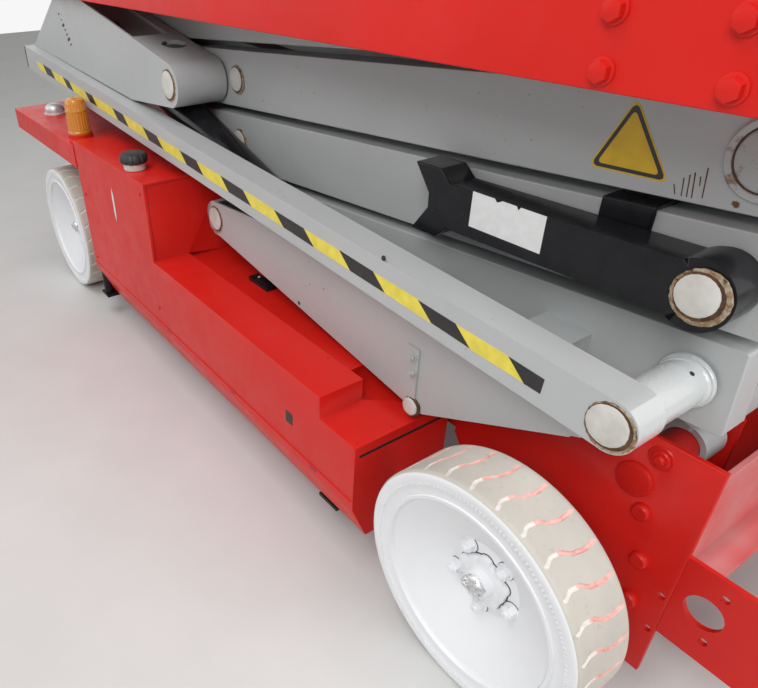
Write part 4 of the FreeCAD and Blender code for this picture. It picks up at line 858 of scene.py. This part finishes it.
class LIFT_OT_bolts(bpy.types.Operator):
    """Bolt heads, round caps and marks on the platform, side plates, leaves and striped arms."""
    bl_idname = "lift.bolts"
    bl_label = "Bolts"

    # Places as (x, z).
    skirt_bolts = ((1.320, 1.276), (1.492, 1.278), (1.320, 1.351), (1.485, 1.352))
    plate_domes = ((1.497, 0.468), (1.526, 0.354), (1.536, 0.239))
    tab = ((0.947, 0.478), (0.954, 0.471), (0.986, 0.470), (0.986, 0.631), (0.947, 0.631))
    # Drips on the upper leaf: share of the way down the row, and size.
    drips = ((-0.55, 0.7), (-0.25, 0.5), (0.02, 1.3), (0.25, 0.7), (0.48, 0.8), (0.72, 1.5), (0.98, 0.8))

    def execute(self, context):
        radius, skirt = sizes().bolt_radius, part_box("platform_floor")[1][1]
        mesh = bmesh.new()
        for side, outward in SIDES:
            for x, z in self.skirt_bolts:
                for start, end, wide, sides, tip, bevel in ((-0.002, 0.0035, 1.38, 32, 1.38, 0.0012),
                                                            (0.0, 0.0135, 1.15, 6, 1.10, 0.0016)):
                    add_bar(mesh, (x, outward * (skirt + start), z), (x, outward * (skirt + end), z),
                            radius * wide, sides, radius * tip, bevel)
        piece("skirt_bolts", mesh, "platform", ("red",))
        mesh = bmesh.new()
        for side, outward in SIDES:
            axis, face = (0, outward, 0), outward * SIDE_FACE
            for x, z in self.plate_domes:
                add_dome(mesh, (x, face, z), axis, 0.019, 0.015)
            for x, z, steps, profile in (
                    (1.463, 0.530, 48, ((0.0, 0.012), (0.030, 0.012), (0.036, 0.010), (0.038, 0.006),
                                        (0.038, -0.003), (0.0, -0.003))),
                    (1.495, 0.603, 40, ((0.0, 0.004), (0.024, 0.004), (0.026, 0.002), (0.026, -0.003),
                                        (0.0, -0.003))),
                    (1.495, 0.603, 40, ((0.0, 0.008), (0.016, 0.008), (0.018, 0.006), (0.018, 0.0), (0.0, 0.0)))):
                add_spun(mesh, profile, (x, face, z), axis, steps)
            add_dome(mesh, (1.495, outward * (SIDE_FACE + 0.006), 0.603), axis, 0.010, 0.009)
        piece("chassis_bolts", mesh, "chassis", ("red",))
        mesh = bmesh.new()
        for side, outward in SIDES:
            axis, face = (0, outward, 0), LEAF_FACE
            add_plate(mesh, self.tab, outward * (face - 0.002), outward * (face + 0.005))
            for x, z in ((0.970, 0.606), (0.975, 0.564)):
                add_bolt(mesh, (x, outward * (face + 0.005), z), axis, 0.0085, 0.010)
            # A pin end whose rust ring sits toward +X: a dark crescent of rust, with the gap's shade painted in.
            add_blob(mesh, (0.979, outward * face, 0.4665), axis, 0.0265, 0.008, 0.0008, 41, 1, 0.002)
            add_blob(mesh, (0.977, outward * face, 0.467), axis, 0.0235, 0.012, 0.0004, 42, 2, 0.003)
            add_bar(mesh, (0.493, outward * (face - 0.002), 0.541), (0.493, outward * (face + 0.0004), 0.541),
                    0.006, 16, finish=3)
            # The web that closes the leaf down to its foot flange.
            add_plate(mesh, [(1.008, 0.4615), (1.380, 0.6435), (1.402, 0.6530),
                             (NEAR_X - 0.030, level_z(1) - 0.040), (1.008, 0.4700)],
                      outward * (face - 0.0075), outward * (face - 0.0004))
        piece("leaf_bolts", mesh, "arm_1_outer", ("grey", "rust", "pin", "dark"))
        mesh = bmesh.new()
        far = Vector((FAR_X, 0, level_z(2)))
        along = (Vector((NEAR_X, 0, level_z(1))) - far).normalized()
        tip = far - along * ARM_TIP
        lean = Matrix.Rotation(-math.atan2(along.z, along.x), 4, "Y")
        slope = Matrix.Rotation(math.radians(-20), 4, "Y")
        for side, outward in SIDES:
            add_bar(mesh, (0.925, outward * 0.638, 0.860), (0.925, outward * 0.6404, 0.860), 0.006, 16)
            add_block(mesh, tip + Vector((-0.0035, outward * 0.6025 - 0.038, -0.0465)),
                      tip + Vector((0.0120, outward * 0.6025 + 0.038, 0.0465)), 0.001, turn=lean, finish=1)
            for share, size in self.drips:
                spot = Vector((-1.163 + 0.059 * share, outward * 0.594, 1.141 - 0.070 * share))
                reach = Vector((0.0105 * size, 0.0012, 0.0034 * size))
                add_block(mesh, spot - reach, spot + reach, turn=slope, finish=1)
        piece("arm_marks", mesh, "arm_2_inner", ("dark", "rust"))
        return {"FINISHED"}


class LIFT_OT_plates(bpy.types.Operator):
    """Blank warning triangle on the arm, blank label on the lock and old scratches."""
    bl_idname = "lift.plates"
    bl_label = "Blank plates"

    corners = ((1.258, 1.2055), (1.198, 1.0795), (1.3475, 1.0845))
    corner_cut = 0.013
    # The plate's three layers, as share of its size and finish.
    layers = ((1.0, 1), (0.93, 0), (0.77, 1))
    # Both ends of each scratch, as x and z in mm.
    scratches = ((1355.7, 1086, 1361.9, 1070.8), (1368.3, 1099.3, 1372.7, 1070.3), (1376, 1106.5, 1381, 1070.9),
                 (1382.7, 1111.6, 1389.2, 1071.4), (1392.4, 1107.5, 1395.5, 1093.2),
                 (1399.2, 1122.7, 1404.8, 1075.5))
    torn = ((1.022, 0.930), (1.198, 0.930), (1.198, 1.003), (1.140, 1.003), (1.135, 0.996), (1.130, 1.003),
            (1.096, 1.003), (1.089, 0.999), (1.083, 0.997), (1.077, 1.003), (1.022, 1.003))

    def triangle(self, share):
        corners = [Vector(corner) for corner in self.corners]
        heart = (corners[0] + corners[1] + corners[2]) / 3
        outline = []
        for spot, before, after in zip(corners, corners[2:] + corners[:2], corners[1:] + corners[:1]):
            for aim, turn in ((before, 1.0), ((before + after) / 2, 0.55), (after, 1.0)):
                eased = spot + (aim - spot).normalized() * self.corner_cut * share * turn
                outline.append(heart + (eased - heart) * share)
        return outline

    def execute(self, context):
        tape = sizes().tape
        for side, outward in SIDES:
            face = outward * ARM_FACE
            mesh = bmesh.new()
            for index, (share, finish) in enumerate(self.layers):
                add_plate(mesh, self.triangle(share), face, outward * (ARM_FACE + tape * (index + 1)), finish)
            piece("warning_plate_" + side, mesh, "arm_3_outer", ("tape", "sign"))
            mesh = bmesh.new()
            for x1, z1, x2, z2 in self.scratches:
                outline = ((x1 - 0.9, z1), (x1 + 1.1, z1), (x2 + 0.8, z2), (x2 - 0.8, z2))
                add_plate(mesh, [(x * MM, z * MM) for x, z in outline], face, outward * (ARM_FACE + tape))
            add_blob(mesh, (1.455, face, 1.080), (0, outward, 0), 0.005, 0.0008, 0.001, 9, 0, 0.0004)
            piece("scratches_" + side, mesh, "arm_3_outer", ("rust",))
            mesh = bmesh.new()
            add_plate(mesh, self.torn, outward * LOCK_FACE, outward * (LOCK_FACE + tape))
            piece("lock_label_" + side, mesh, "arm_2_outer", ("label",))
        return {"FINISHED"}


class LIFT_OT_tray_fittings(bpy.types.Operator):
    """Slot, tie hole, screws, seams and latch on the two trays."""
    bl_idname = "lift.tray_fittings"
    bl_label = "Tray fittings"

    # The slot, a pale plate of painted light inside a dark rim of painted shade: middle, half width, half height,
    # how proud and finish.
    slots = ((-0.4345, 0.0105, 0.068, 0.0004, 1), (-0.4330, 0.0085, 0.064, 0.0009, 2))
    slot_z = 0.611
    # The dark side blocks are the tie hole and the slots at the ledge, drawn as painted shade; the last block is
    # the ledge's lip.
    # Blocks on the side: x and z of both ends, how proud, finish and bevel.
    side_blocks = ((0.700, 0.732, 0.328, 0.366, 0.0005, 1, 0.0),
                   (-0.074, -0.044, 0.243, 0.249, 0.0006, 1, 0.0), (0.381, 0.411, 0.243, 0.249, 0.0006, 1, 0.0),
                   (0.812, 0.842, 0.243, 0.249, 0.0006, 1, 0.0), (-0.800, 0.985, 0.2500, 0.2550, 0.0022, 0, 0.001))
    # The seam round the tall box's end and the latch: x, y and z of both ends, finish and bevel.
    other_blocks = ((-0.123, -0.1194, 0.452, 0.4535, 0.498, 0.7615, 1, 0.0),
                    (-0.123, -0.1194, 0.7385, 0.740, 0.498, 0.7615, 1, 0.0),
                    (-0.123, -0.1194, 0.452, 0.740, 0.760, 0.7615, 1, 0.0),
                    (0.1585, 0.2735, 0.494, 0.534, 0.475, 0.491, 3, 0.004),
                    (0.176, 0.256, 0.502, 0.526, 0.489, 0.4945, 3, 0.002))
    side_screws = ((-0.159, 0.726), (-0.768, 0.561), (-0.769, 0.282), (-0.125, 0.313))
    top_screws = ((0.720, 0.628, 0.495), (0.975, 0.628, 0.430), (0.975, 0.735, 0.430))

    def execute(self, context):
        for side, outward in SIDES:
            self.tray(side, outward)
        return {"FINISHED"}

    def tray(self, side, outward):
        low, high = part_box("tray_" + side)
        face, end, sunk = max(abs(low[1]), abs(high[1])), high[0], 0.003
        mesh = bmesh.new()

        def block(x1, x2, y1, y2, z1, z2, finish, bevel=0.0):
            near, far = sorted((outward * y1, outward * y2))
            add_block(mesh, (x1, near, z1), (x2, far, z2), bevel, finish=finish)

        # The slot: a dark rim of painted shade, then a pale plate of painted light seen in the slot.
        for x, wide, tall, proud, finish in self.slots:
            outline = ((0, -tall), (wide, -tall * 0.55), (wide, tall * 0.55), (0, tall), (-wide, tall * 0.55),
                       (-wide, -tall * 0.55))
            add_plate(mesh, [(x + aside, self.slot_z + rise) for aside, rise in outline],
                      outward * (face - sunk), outward * (face + proud), finish)
        # Dark blocks here are the hole and slots, drawn as painted shade.
        for x1, x2, z1, z2, proud, finish, bevel in self.side_blocks:
            block(x1, x2, face - sunk, face + proud, z1, z2, finish, bevel)
        for x, z in self.side_screws:
            add_dome(mesh, (x, outward * face, z), (0, outward, 0), 0.006, 0.004, 0, 20)
        # The gap below the step as a dark strip of painted shade, then the seam, the latch and its pale dot.
        block(end - 0.004, end + 0.0006, 0.470, 0.735, 0.395, 0.403, 1)
        for row in self.other_blocks:
            block(*row)
        add_bar(mesh, (0.196, outward * 0.514, 0.494), (0.196, outward * 0.514, 0.4962), 0.0045, 16, finish=2)
        for x, y, z in self.top_screws:
            add_dome(mesh, (x, outward * y, z), Z_AXIS, 0.006, 0.0025, 0, 20)
        piece("tray_fittings_" + side, mesh, "tray_" + side, ("red", "tape", "label", "black"))


class LIFT_OT_caps(bpy.types.Operator):
    """Beacon, filler cap and tank knob."""
    bl_idname = "lift.caps"
    bl_label = "Caps"

    # Profiles in shares of the cap's radius and height.
    lens = ((0.0, 0.0), (0.96, 0.0), (1.0, 0.03), (1.0, 0.07), (0.95, 0.09), (0.90, 0.60), (0.94, 0.62),
            (0.95, 0.66), (0.90, 0.69), (0.87, 0.85), (0.78, 0.94), (0.55, 0.985), (0.0, 1.0))
    filler = ((0.0, 0.0), (1.0, 0.0), (1.0, 0.10), (0.94, 0.14), (0.86, 0.16), (0.86, 0.50), (0.83, 0.66),
              (0.70, 0.84), (0.42, 0.97), (0.0, 1.0))
    # The beacon's foot, in shares of its radius and in metres.
    foot = ((0.0, 0.0), (1.0, 0.0), (1.0, 0.006), (0.97, 0.012), (0.945, 0.014), (0.935, 0.0305), (0.0, 0.0305))
    neck = 0.024

    def execute(self, context):
        low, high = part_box("beacon_lens")
        heart = middle(low, high)
        wide, tall = (high[0] - low[0]) / 2, high[2] - low[2] - 0.004
        heart.z = low[2] + 0.018
        mesh = bmesh.new()
        add_spun(mesh, [(wide * share, tall * rise) for share, rise in self.lens], heart, Z_AXIS, 72)
        add_ribs(mesh, 24, heart, (wide * 0.93, tall * 0.10), (wide * 0.855, tall * 0.84), 0.0026, 8)
        piece("beacon_dome", mesh, "chassis", ("amber",), ("beacon_lens",))
        low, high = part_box("beacon_base")
        wide, heart.z = (high[0] - low[0]) / 2, low[2]
        mesh = bmesh.new()
        add_spun(mesh, [(wide * share, rise) for share, rise in self.foot], heart, Z_AXIS, 56)
        add_ribs(mesh, 28, heart, (wide * 0.935, 0.013), (wide * 0.935, 0.029), 0.0022, 6)
        piece("beacon_foot", mesh, "chassis", ("red",), ("beacon_base",))
        low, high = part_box("filler_cap")
        heart = middle(low, high)
        wide, tall = (high[0] - low[0]) / 2 + 0.007, high[2] - low[2] + 0.009
        heart.z = low[2]
        mesh = bmesh.new()
        add_spun(mesh, [(wide * share, tall * rise) for share, rise in self.filler], heart, Z_AXIS, 72)
        add_ribs(mesh, 30, heart, (wide * 0.86, tall * 0.16), (wide * 0.86, tall * 0.46), 0.0018, 6)
        piece("filler_dome", mesh, "chassis", ("silver",), ("filler_cap",))
        low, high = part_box("tank_cap")
        heart, neck = middle(low, high), self.neck
        wide, tall = (high[0] - low[0]) / 2, high[2] - low[2]
        heart.z = low[2]
        mesh = bmesh.new()
        stem = [(0.0, 0.0), (0.036, 0.0), (0.038, 0.002), (0.038, neck), (0.0, neck)]
        grip = [(0.0, neck), (wide * 0.90, neck), (wide * 0.98, neck + 0.004), (wide, neck + 0.011),
                (wide * 0.97, neck + 0.020), (wide * 0.86, tall - 0.004), (wide * 0.70, tall - 0.0005),
                (0.0, tall)]
        add_spun(mesh, stem, heart, Z_AXIS, 48, 1)
        points = add_spun(mesh, grip, (0, 0, 0), Z_AXIS, 96)
        for point in points:
            if math.hypot(point.co.x, point.co.y) > wide * 0.66:
                angle = math.atan2(point.co.y, point.co.x)
                pinch = 1 - 0.055 * max(0.0, math.sin(12 * angle)) ** 0.6
                point.co.x *= pinch
                point.co.y *= pinch
        bmesh.ops.transform(mesh, matrix=Matrix.Translation(heart), verts=points)
        piece("tank_knob", mesh, "tray_left", ("dark", "pale"), ("tank_cap",))
        return {"FINISHED"}


class LIFT_OT_controls(bpy.types.Operator):
    """Platform control box with a lever, stop button and blank panel."""
    bl_idname = "lift.controls"
    bl_label = "Controls"

    drop, lip = 0.072, 0.012
    button = ((0.0, 0.0), (0.013, 0.0), (0.013, 0.010), (0.019, 0.012), (0.021, 0.016), (0.019, 0.021),
              (0.010, 0.0245), (0.0, 0.025))
    # The lever's bellows, as radius and height, and its knob.
    bellows = ((0.026, 0.0), (0.022, 0.006), (0.017, 0.011), (0.012, 0.016))
    knob = ((0.0, 0.036), (0.010, 0.037), (0.0125, 0.043), (0.0125, 0.052), (0.009, 0.058), (0.0, 0.060))
    lamp = ((0.0, 0.0), (0.008, 0.0), (0.008, 0.003), (0.006, 0.005), (0.0, 0.0052))

    def execute(self, context):
        low, high = (Vector(corner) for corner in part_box("control_box"))
        start, long = low.x + self.lip, high.x - low.x - self.lip
        mesh = bmesh.new()
        add_plate(mesh, [(low.x, low.z), (high.x, low.z), (high.x, high.z - 0.075), (start, high.z - 0.003),
                         (low.x, high.z - 0.003)], low.y, high.y)
        round_edges(mesh, mesh.edges, 0.007, 3)
        slope = math.atan2(self.drop, long)
        lean, out = Matrix.Rotation(slope, 4, "Y"), Vector((math.sin(slope), 0, math.cos(slope)))

        def on_slope(share, y, lift=0.0):
            return Vector((start + long * share, y, high.z - 0.003 - self.drop * share)) + out * lift

        for y, deep, wide, proud, finish in ((0.260, 0.104, 0.250, 0.0012, 1), (0.345, 0.060, 0.060, 0.0018, 2)):
            spot, half = on_slope(0.5, y), Vector((deep / 2, wide / 2, 0))
            add_block(mesh, spot - half - Z_AXIS * 0.002, spot + half + Z_AXIS * proud, 0.0008, lean, finish)
        add_spun(mesh, self.button, on_slope(0.5, 0.345), out, 40, 3)
        spot = on_slope(0.62, 0.185)
        for wide, rise in self.bellows:
            add_spun(mesh, [(0.0, rise - 0.002), (wide, rise - 0.002), (wide + 0.0015, rise + 0.0015),
                            (wide - 0.002, rise + 0.005), (0.0, rise + 0.005)], spot, out, 32, 1)
        add_bar(mesh, spot, spot + out * 0.042, 0.0055, 16, finish=1)
        add_spun(mesh, self.knob, spot, out, 28, 1)
        for y in (0.235, 0.262, 0.289):
            spot = on_slope(0.34, y)
            add_bar(mesh, spot, spot + out * 0.004, 0.006, 6, finish=4)
            add_bar(mesh, spot, spot + (out + Vector((0.35, 0, 0))).normalized() * 0.016, 0.0026, 12, 0.0034,
                    finish=4)
            add_spun(mesh, self.lamp, on_slope(0.72, y), out, 24, 1)
        for x in (low.x + 0.020, high.x - 0.012):
            for y in (0.128, 0.392):
                add_dome(mesh, on_slope((x - start) / long, y, 0.0005), out, 0.0032, 0.0016, 4, 12)
        # The hatch in the box's front and its screws, and the cable gland.
        add_block(mesh, (high.x - 0.002, 0.160, low.z + 0.020), (high.x + 0.0015, 0.360, low.z + 0.105), 0.0006,
                  finish=1)
        for y in (0.172, 0.348):
            for z in (low.z + 0.030, low.z + 0.095):
                add_dome(mesh, (high.x + 0.001, y, z), (1, 0, 0), 0.004, 0.002, 4, 12)
        add_bar(mesh, (low.x + 0.060, 0.200, low.z - 0.012), (low.x + 0.060, 0.200, low.z + 0.004), 0.011, 20,
                bevel=0.001, finish=1)
        piece("control_desk", mesh, "sliding_deck", ("pale", "dark", "yellow", "red", "zinc"),
              ("control_box",), 40)
        return {"FINISHED"}


class LIFT_OT_rail_fittings(bpy.types.Operator):
    """Post sockets, toe bolts, joint caps, the deck's sheet and the gate's latch."""
    bl_idname = "lift.rail_fittings"
    bl_label = "Rail fittings"

    post_x, post_y = 1.655, 0.605
    socket = ((0.0195, 0.0), (0.0235, 0.0), (0.0240, 0.002), (0.0240, 0.078), (0.0225, 0.080), (0.0195, 0.080),
              (0.0195, 0.0))
    cap = ((0.0190, -0.024), (0.0215, -0.024), (0.0215, 0.012), (0.0200, 0.0175), (0.0, 0.0178), (0.0, 0.010),
           (0.0190, 0.010), (0.0190, -0.024))
    sheet_x, sheet_y = (-0.400, 1.625), 0.585
    rivet_x = (-0.385, 0.110, 0.610, 1.110, 1.610)
    knob = ((0.0, -0.012), (0.011, -0.010), (0.014, 0.0), (0.011, 0.010), (0.0, 0.012))

    def execute(self, context):
        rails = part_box("guard_rails")
        deck, top = rails[0][2], rails[1][2] - 0.018
        mesh = bmesh.new()
        for side, outward in SIDES:
            for x in (-self.post_x, -self.post_x / 3, self.post_x / 3, self.post_x):
                y, inward = outward * self.post_y, 1 if x < 0 else -1
                add_spun(mesh, self.socket, (x, y, deck + 0.004), Z_AXIS, 32)
                add_bolt(mesh, (x + 0.022 * inward, y, deck + 0.060), (inward, 0, 0), 0.008, 0.010, 1)
                for z in (deck - 0.050, deck - 0.016):
                    add_bolt(mesh, (x * 0.985, outward * 0.625, z), (0, outward, 0), 0.0095, 0.009)
                add_spun(mesh, self.cap, (x, y, top - 0.001), Z_AXIS, 28)
        piece("post_sockets", mesh, "platform", ("red", "zinc"))
        mesh = bmesh.new()
        near, far = self.sheet_x
        add_block(mesh, (near, -self.sheet_y, deck - 0.0005), (far, self.sheet_y, deck + 0.0018), 0.0006)
        for x in self.rivet_x:
            for y in (-0.565, 0.0, 0.565):
                add_dome(mesh, (x, y, deck + 0.0015), Z_AXIS, 0.0065, 0.0022, 1, 16)
        piece("deck_sheet", mesh, "platform", ("deck", "zinc"))
        mesh = bmesh.new()
        x, y, z = self.post_x, -0.259, 2.255
        add_block(mesh, (x - 0.030, y - 0.015, z - 0.020), (x - 0.017, y + 0.045, z + 0.020), 0.003)
        add_bar(mesh, (x - 0.024, y + 0.040, z), (x - 0.024, y - 0.012, z), 0.006, 20, bevel=0.001, finish=1)
        add_bar(mesh, (x - 0.030, y + 0.030, z), (x - 0.056, y + 0.030, z), 0.005, 16, finish=1)
        add_spun(mesh, self.knob, (x - 0.060, y + 0.030, z), Z_AXIS, 24, 2)
        piece("gate_latch", mesh, "entry_gate", ("red", "zinc", "dark"))
        return {"FINISHED"}


class LIFT_OT_stage(bpy.types.Operator):
    """Pale floor, soft studio light and the camera."""
    bl_idname = "lift.stage"
    bl_label = "Stage"

    # Name, place, aim, energy and size.
    lamps = (("key", (3.4, -4.2, 4.3), (0.5, -0.4, 0.6), 150, 2.2),
             ("top", (0.0, -2.4, 5.4), (0.0, -0.5, 0.5), 100, 2.6),
             ("fill", (-3.8, -4.2, 2.6), (0.0, 0.0, 0.8), 26, 3.0),
             ("end", (5.0, 0.4, 3.2), (1.0, 0.0, 0.7), 92, 2.0),
             ("back", (-1.0, 5.0, 4.0), (0.0, 0.0, 1.0), 55, 3.0))
    ambient, backdrop = 0.34, 0.93
    eye = (1.8884, -1.5244, 1.4469)
    yaw, pitch, roll = 2.572, -0.582, -0.028
    lens, shift = 31.25, (0.1302, 0.0260)

    def execute(self, context):
        scene = context.scene
        mesh = bmesh.new()
        bmesh.ops.create_grid(mesh, x_segments=1, y_segments=1, size=12)
        data = bpy.data.meshes.new("floor")
        mesh.to_mesh(data)
        mesh.free()
        floor = bpy.data.objects.new("floor", data)
        scene.collection.objects.link(floor)
        data.materials.append(plain("floor_finish", colours().floor, 0.8, 0.0, 0.03, 3.0))
        self.world(scene)
        for name, place, aim, energy, size in self.lamps:
            lamp = bpy.data.lights.new(name, "AREA")
            lamp.energy, lamp.size = energy, size
            holder = bpy.data.objects.new(name, lamp)
            holder.location = place
            holder.rotation_euler = (Vector(aim) - Vector(place)).to_track_quat("-Z", "Y").to_euler()
            scene.collection.objects.link(holder)
        self.camera(scene)
        scene.view_settings.view_transform = "Standard"
        return {"FINISHED"}

    def world(self, scene):
        """Soft light on the lift, and a pale backdrop for the camera, reflections and glass."""
        world = bpy.data.worlds.new("studio")
        world.use_nodes = True
        tree = world.node_tree
        tree.nodes.clear()
        output = tree.nodes.new("ShaderNodeOutputWorld")
        mix = tree.nodes.new("ShaderNodeMixShader")
        soft, seen = tree.nodes.new("ShaderNodeBackground"), tree.nodes.new("ShaderNodeBackground")
        soft.inputs["Color"].default_value = (1, 1, 1, 1)
        soft.inputs["Strength"].default_value = self.ambient
        seen.inputs["Color"].default_value = (self.backdrop, self.backdrop, self.backdrop, 1)
        rays = tree.nodes.new("ShaderNodeLightPath")
        shown = product(tree, rays.outputs["Is Camera Ray"], rays.outputs["Is Glossy Ray"], "MAXIMUM")
        tree.links.new(product(tree, shown, rays.outputs["Is Transmission Ray"], "MAXIMUM"), mix.inputs[0])
        tree.links.new(soft.outputs[0], mix.inputs[1])
        tree.links.new(seen.outputs[0], mix.inputs[2])
        tree.links.new(mix.outputs[0], output.inputs["Surface"])
        scene.world = world

    def camera(self, scene):
        data = bpy.data.cameras.new("view")
        holder = bpy.data.objects.new("view", data)
        scene.collection.objects.link(holder)
        ahead = spoke(self.yaw, math.cos(self.pitch)) + Z_AXIS * math.sin(self.pitch)
        level = ahead.cross(Z_AXIS).normalized()
        above = level.cross(ahead)
        right = level * math.cos(self.roll) + above * math.sin(self.roll)
        above = above * math.cos(self.roll) - level * math.sin(self.roll)
        turn = Matrix((right, above, -ahead)).transposed().to_4x4()
        holder.matrix_world = Matrix.Translation(self.eye) @ turn
        data.lens, data.sensor_width, data.clip_start = self.lens, 36, 0.02
        data.shift_x, data.shift_y = self.shift
        scene.camera = holder


OPERATORS = (LIFT_OT_frame_finishes, LIFT_OT_soft_edges, LIFT_OT_tyres, LIFT_OT_wheels, LIFT_OT_stripes,
             LIFT_OT_pin_ends, LIFT_OT_bolts, LIFT_OT_plates, LIFT_OT_tray_fittings, LIFT_OT_caps,
             LIFT_OT_controls, LIFT_OT_rail_fittings, LIFT_OT_stage)


class LIFT_PT_panel(bpy.types.Panel):
    """Lists the lift's pieces."""
    bl_idname = "LIFT_PT_panel"
    bl_label = "Scissor Lift"
    bl_space_type = "VIEW_3D"
    bl_region_type = "UI"
    bl_category = "Scissor Lift"

    def draw(self, context):
        for operator in OPERATORS:
            self.layout.operator(operator.bl_idname)


CLASSES = (LiftColours, LiftSizes) + OPERATORS + (LIFT_PT_panel,)


def register():
    for each in CLASSES:
        bpy.utils.register_class(each)
    bpy.types.Scene.lift_colours = bpy.props.PointerProperty(type=LiftColours)
    bpy.types.Scene.lift_sizes = bpy.props.PointerProperty(type=LiftSizes)


def unregister():
    del bpy.types.Scene.lift_sizes
    del bpy.types.Scene.lift_colours
    for each in reversed(CLASSES):
        bpy.utils.unregister_class(each)


def main():
    register()
    for operator in OPERATORS:
        group, name = operator.bl_idname.split(".")
        getattr(getattr(bpy.ops, group), name)()


if __name__ == "__main__":
    main()
